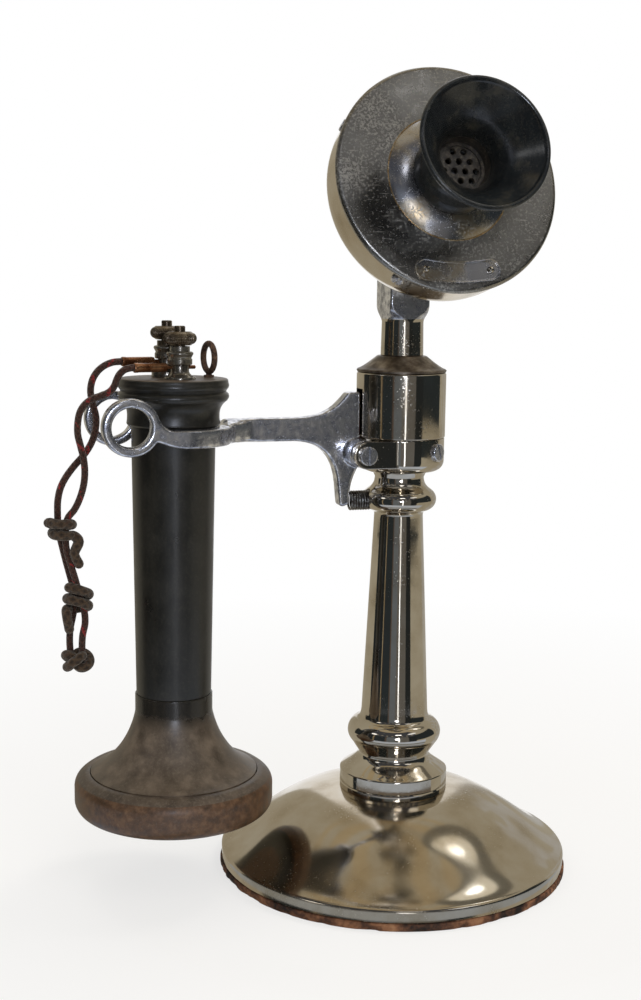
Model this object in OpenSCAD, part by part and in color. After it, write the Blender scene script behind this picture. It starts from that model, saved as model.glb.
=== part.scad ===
// Candlestick desk telephone with a hook lever and a long-pole receiver.
// Millimetres, +Z up. The origin is on the pillar's axis, at the table.
// The mouthpiece looks along -Y and the hook lever reaches along -X.

/* [Base] */
// Radius of the rim of the base
base_r = 70; // [66:1:76]
// Thickness of the leather pad under the base
pad_t = 3; // [2:0.5:5]
// How far the pad stands out past the rim
pad_proud = 0.6; // [0.2:0.1:1.5]
// Height of the upright band round the rim
band_h = 4.3; // [3:0.1:6]
// Rise of the dome from the band to the foot of the pillar
dome_h = 24.4; // [21:0.2:30]
// Sheet thickness of the base shell
shell_t = 1.6; // [1.2:0.1:2.2]
// Thickness of the iron plate that weights the base
weight_t = 6.5; // [4:0.5:8]
// Radius of the hole that the desk cord comes in by
cord_entry_r = 3.2; // [2.5:0.1:4]

/* [Pillar] */
// Radius of the turned foot
foot_r = 21.8; // [20:0.2:24]
// Height of the foot's upright band
foot_band_h = 8.4; // [6:0.2:10]
// Height of the foot's sloping top
foot_slope_h = 6; // [4:0.2:8]
// Height of the pillar from the foot to the bracket
pillar_h = 115.9; // [100:1:140]
// Radius of the lower ball
ball_low_r = 18.9; // [17:0.1:20]
// Radius of the pillar's shaft at the bottom
shaft_low_r = 13.4; // [12.5:0.1:14]
// Radius of the pillar's shaft at the top
shaft_top_r = 9.8; // [9:0.1:11]
// Radius of the upper ball
ball_top_r = 14.9; // [13.6:0.1:16]
// Outer radius of the tube that clamps the stand together
tube_r = 5; // [4:0.1:5.4]

/* [Switch housing] */
// Outer radius of the switch cup
cup_r = 17.7; // [17:0.1:19]
// Height of the switch cup
cup_h = 25.7; // [24:0.5:32]
// Wall thickness of the switch cup
cup_t = 1.6; // [1:0.1:2]
// Height of the bracket under the cup
bracket_h = 13.3; // [12.5:0.1:15]
// Thickness of each arm of the bracket
arm_t = 3.8; // [3:0.1:5]
// Distance of the lever's pivot from the pillar's axis
pivot_out = 19.2; // [18.6:0.1:21]
// Radius of the lever's pivot pin
pivot_r = 2; // [1.5:0.1:2.5]

/* [Hook lever] */
// Thickness of the lever's plate
lever_t = 5.5; // [4:0.1:6]
// Distance of the receiver's axis from the pillar's axis
hang_out = 91.5; // [86:0.5:100]
// Half of the gap between the fork's tines
fork_half_gap = 17; // [16.6:0.1:17.2]
// Thickness of a tine
tine_t = 5; // [4:0.1:6]
// Height of a tine
tine_h = 6.4; // [5:0.1:7]
// Outer radius of the finger rings
ring_r = 10.5; // [9.5:0.1:12]
// Radius of the hole in the finger rings
ring_hole_r = 7.4; // [6:0.1:8]
// Wire of the return spring
spring_wire = 0.75; // [0.6:0.05:0.85]
// Mean radius of the return spring's coils
spring_r = 3.5; // [3:0.1:3.8]

/* [Transmitter] */
// Upward tilt of the transmitter at rest, in degrees
tilt = 17.4; // [5:0.1:30]
// Radius of the transmitter's face
face_r = 42.5; // [40:0.5:46]
// Depth of the transmitter's case behind its rim
case_depth = 28; // [26:0.5:32]
// Sheet thickness of the case and face
case_t = 1.6; // [1.2:0.1:2]
// Length of the stem's round neck
neck_h = 13.2; // [12:0.2:20]
// Height of the tilting pivot above the neck
tilt_rise = 25.5; // [24:0.5:32]
// Width of the stem's square head
head_w = 16.4; // [15:0.1:18]
// Thickness of the lug that tilts in the head
lug_t = 6; // [5:0.1:7]
// Radius of the mouthpiece's mouth
mouth_r = 24; // [22:0.5:26]
// Length of the mouthpiece in front of the face
mouth_len = 25.5; // [22:0.5:30]

/* [Receiver] */
// Radius of the receiver's barrel at the top
barrel_top_r = 15.9; // [15:0.1:16.2]
// Radius of the receiver's barrel at the bottom
barrel_low_r = 14.4; // [13.8:0.1:15]
// Length of the receiver's barrel
barrel_len = 103.5; // [90:0.5:112]
// Height of the tail cap
tail_h = 17.7; // [16:0.1:20]
// Radius of the beads round the tail cap
bead_r = 20.9; // [20:0.1:22]
// Height of the flared bell
bell_h = 30.6; // [26:0.2:34]
// Outer radius of the ear cap
ear_r = 38.4; // [37:0.2:41]
// Height of the ear cap
ear_h = 16.4; // [15:0.1:18]
// Radius of the hole in the ear cap
ear_hole_r = 6.5; // [5.5:0.1:7]
// Turn of the terminals about the receiver's axis, in degrees
terminal_turn = 10; // [0:1:25]
// Half of the distance between the two binding posts
post_half_gap = 6.4; // [6.4:0.1:7]

/* [Hidden] */
$fn = 96;

// Clearances
fit = 0.1;
run = 0.05;
gap = 0.3;
eps = 0.01;

// Heights of the stand, from the table up
pad_top = pad_t;
band_top = pad_top + band_h;
dome_top = band_top + dome_h;
foot_top = dome_top + foot_band_h + foot_slope_h;
bracket_z = foot_top + pillar_h;
bracket_top = bracket_z + bracket_h;
cup_top = bracket_top + cup_h;
cap_h = 6.3;
collar_z = cup_top + cap_h;
head_z = collar_z + neck_h;
tilt_z = head_z + tilt_rise;

// Stand details
foot_neck_r = 14.5;
boss_r = 13;
tube_bore_r = tube_r + fit;
nut_flats = 15;
nut_h = 4.5;
nut_sink = 3;
shell_inner_r = base_r - shell_t;
weight_r = shell_inner_r - 7;
ball_top_z = bracket_z - 11.4;
ball_low_z = foot_top + 9.1;

// Bracket and pivot
head_screw_r = 3.65;
head_screw_h = 1.7;
slot_w = 0.8;
slot_deep = 0.8;
arm_end_r = 5.3;
arm_in = cup_r - 1.7 - arm_t;
pivot_x = -pivot_out;
pivot_z = bracket_top - arm_end_r - 0.2;
hub_r = 5.3;
hub_half = arm_in - gap;
pocket_x = -(pivot_out - hub_r - 0.7);
screw_turn = 55;

// Lever
plate_half = lever_t / 2;
tine_z = pivot_z + 5.0;
tine_top = tine_z + tine_h;
ring_z = pivot_z + 12.9;
ring_x = -(hang_out + 19.9);
tine_y = fork_half_gap + tine_t / 2;
arm_top = tine_top + 2.2;
arm_low = tine_z - 0.1;
tail_x = -(cup_r + 4.3);
horn_x = -(cup_r + 0.3);
spring_z = ball_top_z - 0.3;
pocket_r = spring_r + spring_wire / 2 + 0.5;
pocket_end = -(tube_bore_r + 6.4);
spring_turns = 7.5;
spring_from = tail_x + gap + spring_wire / 2;
spring_to = pocket_end - gap - spring_wire / 2;
slot_half = plate_half + 0.75;
cup_slot_h = 19.2;

// Transmitter
lug_reach = case_depth + 19.65;
lug_drop = 12.9;
case_r = face_r - 1.2;
case_side = 11;
lug_slot = lug_t + 2 * gap;
dome_r = 23.5;
neck_r = 12.6;
dome_rise = 8;
face_top = case_t;
neck_z = face_top + dome_rise;
mouth_z = neck_z + mouth_len;
grid_z = mouth_z - 24;
grid_r = 8.1;
grid_t = 1.2;
hole_pitch = 4.1;
hole_r = 0.85;
plate_out = face_r - 7.2;
plate_bend = 70;
plate_half_w = 4.1;
plate_half_len = 12.4;
plate_t = 0.7;
rivet_r = 1.3;

// Receiver
rec_x = -hang_out;
tail_z = tine_top + gap;
rec_top = tail_z + tail_h;
spigot_z = tail_z - 5.5;
bell_z = tail_z - barrel_len;
flange_z = bell_z - bell_h;
barrel_bore = barrel_low_r - 2.2;
flange_r = ear_r - 6.2;
flange_low = flange_z - 8.2;
diaphragm_t = 0.35;
ledge_z = flange_low - diaphragm_t - 0.25;
ear_top = flange_z - 0.4;
ear_z = ear_top - ear_h;
tip_z = 4.35;
tip_r = 1.8;
tip_len = 12.9;
tip_out = 5.2;
pin_r = 0.7;
post_r = 5;
post_waist_r = 3.4;
post_h = 21.4;
post_washer_h = 1.6;
ring_out = 14.5;
eye_r = 6.4;
eye_wire = 2.3;
cord_d = 2.6;

// Points of an arc from angle a to angle b
function arc(x, y, r, a, b, n = 8) =
    [for (i = [0:n]) [x + r * cos(a + (b - a) * i / n), y + r * sin(a + (b - a) * i / n)]];

// Points of a cubic curve through p[0] and p[3], drawn by p[1] and p[2]
function curve(p, n = 12) =
    [for (i = [0:n]) let (t = i / n, s = 1 - t)
        s * s * s * p[0] + 3 * s * s * t * p[1] + 3 * s * t * t * p[2] + t * t * t * p[3]];

// Reads a list from its last item to its first
function back(p) = [for (i = [len(p) - 1:-1:0]) p[i]];

module turned(points) {
    rotate_extrude() polygon(points);
}

// An upright shape in the XZ plane, given a thickness along Y
module upright(points, thick) {
    rotate([90, 0, 0]) linear_extrude(thick, center = true) polygon(points);
}

// A slotted cheese head whose seat is at z = 0
module screw_head(r, h) {
    difference() {
        turned(concat([[0, 0], [r, 0]], arc(r - 0.6, h - 0.6, 0.6, 0, 90, 4), [[0, h]]));
        translate([-r, -slot_w / 2, h - slot_deep]) cube([2 * r, slot_w, slot_deep + eps]);
    }
}

// Unit vector of a vector
function unit(v) = v / norm(v);

// Frames along a route: each is [point, side, up], carried from the one before
function side_of(t, s) = unit(s - (s * t) * t);
function heading(p, i) = unit(p[min(i + 1, len(p) - 1)] - p[max(i - 1, 0)]);
function frames(p, i = 0, s = [0.3, 1, 0.2]) =
    i == len(p) ? [] :
    let (t = heading(p, i), u = side_of(t, s))
    concat([[p[i], u, cross(t, u)]], frames(p, i + 1, u));

// A round tube swept along the points of a route
module tube(p, r, sides) {
    f = frames(p);
    n = len(p);
    points = [for (g = f) for (k = [0:sides - 1])
        g[0] + r * cos(360 * k / sides) * g[1] + r * sin(360 * k / sides) * g[2]];
    walls = [for (i = [0:n - 2]) for (k = [0:sides - 1])
        let (a = i * sides + k, b = i * sides + (k + 1) % sides)
        each [[a, a + sides, b], [b, a + sides, b + sides]]];
    first = [for (k = [1:sides - 2]) [0, k, k + 1]];
    end = (n - 1) * sides;
    last = [for (k = [1:sides - 2]) [end, end + k + 1, end + k]];
    polyhedron(points, concat(walls, first, last), convexity = 6);
}

// Least gap between the turns of a tube of diameter d, measured on its points
function least_gap(p, d, half_turn) =
    min([for (i = [0:len(p) - 1 - half_turn]) for (j = [i + half_turn:len(p) - 1]) norm(p[i] - p[j])]) - d;

// ---- Places

module at_terminals() {
    translate([rec_x, 0, rec_top]) rotate([0, 0, terminal_turn]) children();
}

module at_receiver() {
    translate([rec_x, 0, 0]) children();
}

module at_transmitter() {
    translate([0, 0, tilt_z]) rotate([90 - tilt, 0, 0]) translate([0, lug_drop, lug_reach]) children();
}

module at_pivot() {
    translate([pivot_x, 0, pivot_z]) rotate([90, 0, 0]) children();
}

// ---- Base

module base_pad() {
    color("saddlebrown") cylinder(r = base_r + pad_proud, h = pad_t);
}

module base_weight() {
    color("dimgray") difference() {
        union() {
            translate([0, 0, pad_top]) cylinder(r = weight_r, h = weight_t);
            translate([0, 0, pad_top]) cylinder(r = boss_r, h = dome_top - shell_t - pad_top);
        }
        translate([0, 0, pad_top - eps]) cylinder(r = tube_bore_r, h = dome_top);
        translate([0, 0, pad_top - eps]) cylinder(r = nut_flats / 2 + 2, h = nut_sink + nut_h + eps);
    }
}

// Outline of the dome, outside for t = 0 and inside for the sheet's thickness
function dome_line(t) =
    let (w = base_r - foot_r)
    curve([[foot_r, dome_top - t],
           [foot_r + 0.48 * w - 0.2 * t, dome_top - 0.09 * dome_h - t],
           [foot_r + 0.75 * w - 0.7 * t, dome_top - 0.787 * dome_h - t],
           [base_r - t, band_top - 0.2 * t]], 16);

// The bushing sits square to the dome, at one of the points of its outline
bushing_place = dome_line(0)[10];
bushing_slope = dome_line(0)[9] - dome_line(0)[11];
bushing_r = cord_entry_r + 1.8;

module at_bushing() {
    translate([0, bushing_place.x, bushing_place.y])
        rotate([-atan2(bushing_slope.y, -bushing_slope.x), 0, 0]) children();
}

module base_shell() {
    color("silver") difference() {
        turned(concat([[tube_bore_r, dome_top]], dome_line(0), [[base_r, pad_top], [shell_inner_r, pad_top]],
            back(dome_line(shell_t)), [[tube_bore_r, dome_top - shell_t]]));
        at_bushing() cylinder(r = bushing_r + run, h = 12, center = true);
    }
}

module cord_bushing() {
    color("black") at_bushing() difference() {
        union() {
            translate([0, 0, -4]) cylinder(r = bushing_r, h = 4.5);
            translate([0, 0, 0.3]) cylinder(r = bushing_r + 1.4, h = 1.2);
        }
        cylinder(r = cord_entry_r, h = 12, center = true);
    }
}

module foot_flange() {
    color("silver") turned(concat(
        [[tube_bore_r, dome_top], [foot_r, dome_top]],
        arc(foot_r - 0.8, dome_top + foot_band_h - 0.8, 0.8, 0, 60, 4),
        curve([[foot_r - 1.2, dome_top + foot_band_h + 0.5],
               [foot_neck_r + 3.2, foot_top - 3.4],
               [foot_neck_r + 0.4, foot_top - 2],
               [foot_neck_r, foot_top]], 6),
        [[tube_bore_r, foot_top]]));
}

module clamp_tube() {
    color("goldenrod") difference() {
        translate([0, 0, pad_top + 1]) cylinder(r = tube_r, h = bracket_top + nut_h + 1.5 - pad_top - 1);
        translate([0, 0, pad_top]) cylinder(r = tube_r - 1.3, h = bracket_top + 20);
    }
}

module clamp_nuts() {
    color("goldenrod") for (z = [pad_top + nut_sink, bracket_top]) {
        translate([0, 0, z]) difference() {
            cylinder(r = nut_flats / 2, h = nut_h, $fn = 6);
            translate([0, 0, -eps]) cylinder(r = tube_r, h = nut_h + 2 * eps);
        }
    }
}

module pillar() {
    bulge = ball_low_r - 5.7;
    bead = ball_top_r - 4.5;
    color("silver") difference() {
        turned(concat(
            [[tube_bore_r, foot_top], [foot_neck_r, foot_top], [foot_neck_r + 0.1, foot_top + 1.2]],
            arc(bulge, ball_low_z, 5.7, -35, 72, 12),
            curve([[bulge + 1.4, ball_low_z + 5.7], [shaft_low_r + 0.4, ball_low_z + 6.3],
                   [shaft_low_r + 0.1, ball_low_z + 7.6], [shaft_low_r, ball_low_z + 10]], 5),
            [[shaft_top_r, ball_top_z - 7]],
            curve([[shaft_top_r, ball_top_z - 6], [shaft_top_r + 0.4, ball_top_z - 4.6],
                   [shaft_top_r + 1.4, ball_top_z - 4.4], [bead + 2.1, ball_top_z - 4]], 4),
            arc(bead, ball_top_z, 4.5, -58, 58, 10),
            curve([[bead + 2.1, ball_top_z + 4.1], [shaft_top_r + 0.6, ball_top_z + 5.4],
                   [shaft_top_r, ball_top_z + 7], [shaft_top_r, ball_top_z + 9]], 5),
            [[shaft_top_r + 1.2, bracket_z], [tube_bore_r, bracket_z]]));
        translate([0, 0, spring_z]) rotate([0, -90, 0])
            translate([0, 0, -pocket_end]) cylinder(r = pocket_r, h = ball_top_r);
    }
}

// ---- Switch housing

// The two side screws of the bracket sit in shallow flats
module at_bracket_screws() {
    for (s = [-1, 1]) rotate([0, 0, s * screw_turn]) translate([cup_r - 0.6, 0, pivot_z + 0.4])
        rotate([0, 90, 0]) children();
}

module lever_bracket() {
    color("silver") difference() {
        union() {
            turned(concat([[tube_bore_r, bracket_z]], arc(cup_r - 4.5, bracket_z + 4.3, 4.3, -90, 0, 6),
                [[cup_r - 0.2, bracket_top], [tube_bore_r, bracket_top]]));
            for (s = [-1, 1]) translate([0, s * (arm_in + arm_t / 2), pivot_z]) {
                translate([pivot_x, -arm_t / 2, -arm_end_r])
                    cube([pivot_out - 5, arm_t, 2 * arm_end_r]);
                translate([pivot_x, 0, 0]) rotate([90, 0, 0])
                    cylinder(r = arm_end_r, h = arm_t, center = true);
            }
        }
        translate([pocket_x - 2 * cup_r, -arm_in, bracket_z - 1])
            cube([2 * cup_r, 2 * arm_in, bracket_h + 2]);
        at_pivot() cylinder(r = pivot_r + run, h = 3 * cup_r, center = true);
        at_bracket_screws() {
            translate([0, 0, -5.6]) cylinder(r = 1.6, h = 6);
            cylinder(r = head_screw_r, h = 4);
        }
    }
}

module bracket_screws() {
    color("silver") at_bracket_screws() {
        rotate([0, 0, 20]) screw_head(head_screw_r - fit, head_screw_h);
        translate([0, 0, -5.5]) cylinder(r = 1.6, h = 5.5);
    }
}

module lever_pivot_screw() {
    reach = arm_in + arm_t;
    color("silver") at_pivot() {
        translate([0, 0, reach]) rotate([0, 0, 90]) screw_head(head_screw_r, head_screw_h);
        translate([0, 0, -reach - 1.2]) cylinder(r = pivot_r, h = 2 * reach + 1.2);
        translate([0, 0, -reach - 1.2]) cylinder(r = pivot_r + 1, h = 1.2);
    }
}

module switch_cup() {
    color("silver") difference() {
        translate([0, 0, bracket_top]) cylinder(r = cup_r, h = cup_h);
        translate([0, 0, bracket_top - eps]) cylinder(r = cup_r - cup_t, h = cup_h + 2 * eps);
        translate([-2 * cup_r, -slot_half, bracket_top - eps]) cube([2 * cup_r, 2 * slot_half, cup_slot_h]);
    }
}

// Leaf springs stand behind the slot, beside the clamp tube's nut
spring_xs = [-13.2, -11.3, -9.4];
leaf_t = 0.4;
leaf_w = 5;
block_h = 7;

module leaf(x) {
    translate([x - leaf_t / 2, -leaf_w / 2, bracket_top]) cube([leaf_t, leaf_w, cup_h - 5]);
}

module switch_block() {
    color("saddlebrown") difference() {
        translate([-14.1, -4, bracket_top]) cube([5.8, 8, block_h]);
        for (x = spring_xs) leaf(x);
        for (x = spring_xs) translate([x - leaf_t / 2, -leaf_w / 2, bracket_top - eps])
            cube([leaf_t, leaf_w, 1]);
    }
}

module switch_springs() {
    color("goldenrod") for (x = spring_xs) leaf(x);
}

module cup_cap() {
    skirt_r = cup_r - cup_t - fit;
    color("sienna") turned([
        [6, cup_top - 2.5], [skirt_r, cup_top - 2.5], [skirt_r, cup_top], [cup_r, cup_top],
        [cup_r, cup_top + 1], [cup_r - 0.4, cup_top + 1.3], [cup_r - 1.3, cup_top + 1.5],
        [cup_r - 3.9, cup_top + 3.2], [cup_r - 6.4, cup_top + 5], [cup_r - 8, cup_top + cap_h],
        [6, collar_z]]);
}

// ---- Stem and tilting joint

module stem() {
    neck = 8.3;
    turn_r = head_w / 2 + 3;
    color("silver") difference() {
        union() {
            translate([0, 0, cup_top - 1]) cylinder(r = 5.9, h = cap_h + 1);
            translate([0, 0, collar_z]) cylinder(r1 = neck + 0.1, r2 = neck - 0.1, h = head_z - collar_z);
            intersection() {
                turned(concat([[0, head_z]], curve([[neck - 0.1, head_z], [neck, head_z + 2.4],
                    [turn_r, head_z + 3.4], [turn_r, head_z + 6.8]], 8),
                    [[turn_r, tilt_z + head_w / 2], [0, tilt_z + head_w / 2]]));
                translate([-head_w / 2, -head_w / 2, head_z]) cube([head_w, head_w, 60]);
                union() {
                    translate([0, 0, tilt_z]) rotate([0, 90, 0])
                        cylinder(r = head_w / 2, h = 2 * head_w, center = true);
                    translate([-head_w, -head_w, head_z - 1])
                        cube([2 * head_w, 2 * head_w, tilt_z - head_z + 1]);
                }
            }
        }
        translate([-lug_slot / 2, -head_w, tilt_z - 9.4]) cube([lug_slot, 2 * head_w, 40]);
        translate([0, 0, tilt_z]) rotate([0, 90, 0])
            cylinder(r = pivot_r + run, h = 2 * head_w, center = true);
    }
}

module tilt_screw() {
    color("silver") translate([0, 0, tilt_z]) rotate([0, 90, 0]) {
        translate([0, 0, -head_w / 2 - 2.6]) cylinder(r = pivot_r, h = head_w + 2.6);
        translate([0, 0, head_w / 2]) screw_head(head_screw_r + 0.6, head_screw_h);
        translate([0, 0, -head_w / 2 - 2.4]) cylinder(r = 4.6, h = 2.4, $fn = 6);
    }
}

// ---- Hook lever

// Plate of the lever: arm to the left, horn up into the switch, tail down to the spring
function lever_line() = concat(
    [[rec_x + fork_half_gap + 2, arm_low], [rec_x + fork_half_gap + 2, arm_top]],
    curve([[pivot_x - 24.8, arm_top], [pivot_x - 14.8, arm_top + 0.2],
           [pivot_x - 9.8, arm_top + 1.8], [pivot_x - 3.7, pivot_z + 23.2]], 8),
    [[horn_x, pivot_z + 23.3], [horn_x, pivot_z + 4]],
    curve([[pivot_x + 1.7, pivot_z - 4], [pivot_x - 1.8, pivot_z - 9.8],
           [tail_x, pivot_z - 13], [tail_x, pivot_z - 20.4]], 6),
    arc(tail_x - 2.4, pivot_z - 19.9, 1.5, -90, -180, 3),
    curve([[pivot_x - 7.4, pivot_z - 12.8], [pivot_x - 8.4, pivot_z - 1.8],
           [pivot_x - 13.8, arm_low - 0.6], [pivot_x - 24.8, arm_low]], 8));

// Side view of a tine, from the middle of the fork out to its ring
function tine_line() = concat(
    [[rec_x, tine_top]],
    curve([[rec_x - 4.5, tine_top], [rec_x - 8.5, tine_top + 1],
           [rec_x - 10, tine_top + 4], [rec_x - 13.4, ring_z + 8]], 8),
    [[ring_x, ring_z]],
    [[ring_x + 9, ring_z - 5.4]],
    curve([[rec_x - 9.6, tine_z + 2.4], [rec_x - 7, tine_z + 1.6],
           [rec_x - 4.5, tine_z + 0.2], [rec_x, tine_z]], 6));

module hook_lever() {
    outer = fork_half_gap + tine_t;
    color("lightsteelblue") difference() {
        union() {
            upright(lever_line(), lever_t);
            at_pivot() cylinder(r = hub_r, h = 2 * hub_half, center = true);
            translate([rec_x, 0, tine_z]) linear_extrude(tine_h) difference() {
                intersection() {
                    circle(r = outer);
                    translate([0, -outer]) square([outer, 2 * outer]);
                }
                circle(r = fork_half_gap);
            }
            translate([rec_x + fork_half_gap, 0, arm_low]) linear_extrude(arm_top - arm_low - 1)
                polygon([[2, -9], [2, 9], [5, 6], [12, plate_half], [12, -plate_half], [5, -6]]);
            for (s = [-1, 1]) translate([0, s * tine_y, 0]) {
                upright(tine_line(), tine_t);
                translate([ring_x, 0, ring_z]) rotate([90, 0, 0])
                    cylinder(r = ring_r, h = tine_t, center = true);
            }
        }
        translate([ring_x, 0, ring_z]) rotate([90, 0, 0])
            cylinder(r = ring_hole_r, h = 4 * fork_half_gap, center = true);
        at_pivot() cylinder(r = pivot_r + run, h = 3 * cup_r, center = true);
    }
}

// The coil's turns step along X by one pitch each
spring_rings = 8;
spring_pitch = (spring_to - spring_from) / spring_turns;
spring_line = [for (i = [0:spring_rings * spring_turns]) let (a = 360 * i / spring_rings)
    [spring_from + spring_pitch * i / spring_rings, spring_r * cos(a), spring_z + spring_r * sin(a)]];
echo(spring_gap = least_gap(spring_line, spring_wire, spring_rings / 2));

module hook_spring() {
    color("dimgray") tube(spring_line, spring_wire / 2, 6);
}

// ---- Transmitter, drawn about its own axis with the face looking along +Z

rim_screw_r = 1.3;
skirt_r = case_r - case_t - fit;
skirt_t = 2;
skirt_in = skirt_r - skirt_t;
gasket_r = skirt_in - 4.6;
gasket_w = 4.5;
bridge_half = skirt_in - 1.1;
bridge_leg = 3;
damper_foot = skirt_in - 2.6;
button_r = 11;
damper_in = button_r + 0.5;
damper_out = damper_foot + 1.5;
button_floor = -16.4;

module at_rim_screws() {
    for (a = [60:90:330]) rotate([0, 0, a]) translate([case_r, 0, -5.2]) rotate([0, 90, 0]) children();
}

module transmitter_case() {
    color("silver") at_transmitter() difference() {
        turned(concat([[case_r, 0]], curve([[case_r, -case_side], [case_r, -case_side - 10],
            [case_r - 8, -case_depth], [case_r - 16, -case_depth]], 10), [[0, -case_depth]],
            [[0, case_t - case_depth]], back(curve([[case_r - case_t, -case_side],
            [case_r - case_t, -case_side - 9], [case_r - 8.6, case_t - case_depth],
            [case_r - 16, case_t - case_depth]], 10)), [[case_r - case_t, 0]]));
        at_rim_screws() cylinder(r = rim_screw_r, h = 12, center = true);
    }
}

module tilt_lug() {
    color("silver") at_transmitter() difference() {
        union() {
            translate([0, -lug_drop + 7, -case_depth - 3]) cylinder(r = 11, h = 3);
            translate([-lug_t / 2, -lug_drop - 6, -lug_reach]) cube([lug_t, 12, lug_reach - case_depth]);
            translate([0, -lug_drop, -lug_reach]) rotate([0, 90, 0])
                cylinder(r = 6, h = lug_t, center = true);
        }
        translate([0, -lug_drop, -lug_reach]) rotate([0, 90, 0])
            cylinder(r = pivot_r + run, h = 3 * lug_t, center = true);
    }
}

module transmitter_face() {
    color("silver") at_transmitter() difference() {
        turned(concat([[face_r - 1.1, -case_t], [face_r - 0.5, -case_t]],
        arc(face_r - case_t, 0, case_t, -45, 90, 8),
        [[dome_r + 0.6, face_top]],
        curve([[dome_r, face_top], [dome_r - 2, face_top + 4.4],
               [neck_r + 4.6, face_top + 7.2], [neck_r + 0.4, neck_z]], 8),
        [[9.2, neck_z], [9.2, neck_z - 4.4], [neck_r, neck_z - 1.8]],
        back(curve([[dome_r - 1.8, 0], [dome_r - 3.4, face_top + 2],
                    [neck_r + 4, neck_z - 2.6], [neck_r + 0.4, neck_z - 1.8]], 6)),
        [[skirt_r - skirt_t, 0], [skirt_r - skirt_t, -8], [skirt_r, -8], [skirt_r, 0], [face_r - 1.1, 0]]));
        at_rim_screws() cylinder(r = rim_screw_r, h = 12, center = true);
    }
}

// The plate's ends are round and sit on a shallow arc
plate_turn = asin(plate_half_len / plate_bend);
border_w = 0.7;
border_h = 0.3;
rivet_stem_r = rivet_r - 0.5;

module at_plate_ends() {
    for (s = [-1, 1]) translate([0, plate_bend - plate_out, 0]) rotate([0, 0, s * plate_turn])
        translate([0, -plate_bend, 0]) children();
}

module plate_shape(inset) {
    half = plate_half_w - inset;
    spread = 2 * plate_bend;
    translate([0, plate_bend - plate_out]) intersection() {
        difference() {
            circle(r = plate_bend + half, $fn = 360);
            circle(r = plate_bend - half, $fn = 360);
        }
        polygon([[0, 0], spread * [-sin(plate_turn), -cos(plate_turn)],
            spread * [sin(plate_turn), -cos(plate_turn)]]);
    }
    at_plate_ends() circle(r = half);
}

module name_plate() {
    color("silver") at_transmitter() translate([0, 0, face_top]) difference() {
        linear_extrude(plate_t) plate_shape(0);
        translate([0, 0, plate_t - border_h]) linear_extrude(1) plate_shape(border_w);
        at_plate_ends() translate([0, 0, -1]) cylinder(r = rivet_stem_r, h = 3);
    }
}

module plate_rivets() {
    seat = plate_t - border_h;
    color("silver") at_transmitter() translate([0, 0, face_top]) at_plate_ends()
        turned(concat([[0, 0], [rivet_stem_r, 0], [rivet_stem_r, seat]], arc(0, seat, rivet_r, 0, 90, 5)));
}

module rim_screws() {
    color("silver") at_transmitter() at_rim_screws() {
        screw_head(2.4, 1.2);
        translate([0, 0, -3.6]) cylinder(r = rim_screw_r, h = 3.6);
    }
}

module diaphragm_gasket() {
    color("black") at_transmitter() difference() {
        translate([0, 0, -2.2]) cylinder(r = gasket_r, h = 2.2);
        translate([0, 0, -3]) cylinder(r = gasket_r - gasket_w, h = 4);
    }
}

module transmitter_diaphragm() {
    color("gainsboro") at_transmitter() translate([0, 0, -2.8]) cylinder(r = gasket_r - 1, h = 0.6);
}

module carbon_button() {
    color("goldenrod") at_transmitter() turned([[0, -18], [1.5, -18], [1.5, -14.4], [3, -14.4],
        [3, -12.4], [button_r, -12.4], [button_r, -5], [button_r - 1, -4.4], [2, -4.4], [2, -2.8], [0, -2.8]]);
}

module button_bridge() {
    color("dimgray") at_transmitter() difference() {
        union() {
            translate([-bridge_half, -5, button_floor]) cube([2 * bridge_half, 10, 2]);
            for (s = [-1, 1]) translate([s * (bridge_half - bridge_leg / 2) - bridge_leg / 2, -5, button_floor])
                cube([bridge_leg, 10, -button_floor]);
        }
        translate([0, 0, button_floor - 1]) cylinder(r = 1.6, h = 4);
    }
}

module damping_springs() {
    color("slategray") at_transmitter() for (s = [-1, 1]) {
        translate([-2.5, s > 0 ? damper_in : -damper_out, -5.2]) cube([5, damper_out - damper_in, 0.5]);
        translate([-2.5, s * damper_foot - 1.5, -4.7]) cube([5, 3, 4.7]);
        translate([0, s * (damper_in + 5.5), -4.7]) cylinder(r = 2, h = 1.9);
    }
}

module mouthpiece() {
    color("black") at_transmitter() difference() {
        turned(concat(
            [[0, grid_z - grid_t], [6.6, grid_z - grid_t], [6.6, neck_z - 4], [8.9, neck_z - 4],
             [8.9, neck_z + gap], [neck_r, neck_z + gap], [neck_r + 0.2, neck_z + 1.4]],
            curve([[neck_r - 0.5, neck_z + 3.2], [neck_r - 0.1, neck_z + 13], [mouth_r - 7, mouth_z - 8],
                   [mouth_r - 1.2, mouth_z - 2]], 10),
            arc(mouth_r - 1, mouth_z - 1, 1, -40, 130, 7),
            curve([[mouth_r - 2, mouth_z - 1], [mouth_r - 8, mouth_z - 7.4],
                   [grid_r + 2, mouth_z - 12], [grid_r + 1.3, grid_z + 2]], 10),
            [[grid_r + 1.2, grid_z + 0.6], [grid_r, grid_z + 0.6], [grid_r, grid_z], [0, grid_z]]));
        for (i = [-3:3]) for (j = [-3:3]) {
            x = hole_pitch * (i + j / 2);
            y = hole_pitch * (j * sin(60) + tan(30));
            if (norm([x, y]) < 1.6 * hole_pitch)
                translate([x, y, grid_z - 2 * grid_t]) cylinder(r = hole_r, h = 4 * grid_t, $fn = 16);
        }
    }
}

// ---- Receiver

module receiver_barrel() {
    color("darkslategray") at_receiver() turned([[barrel_bore, bell_z], [barrel_low_r, bell_z],
        [barrel_top_r, tail_z], [barrel_bore, tail_z]]);
}

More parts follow.
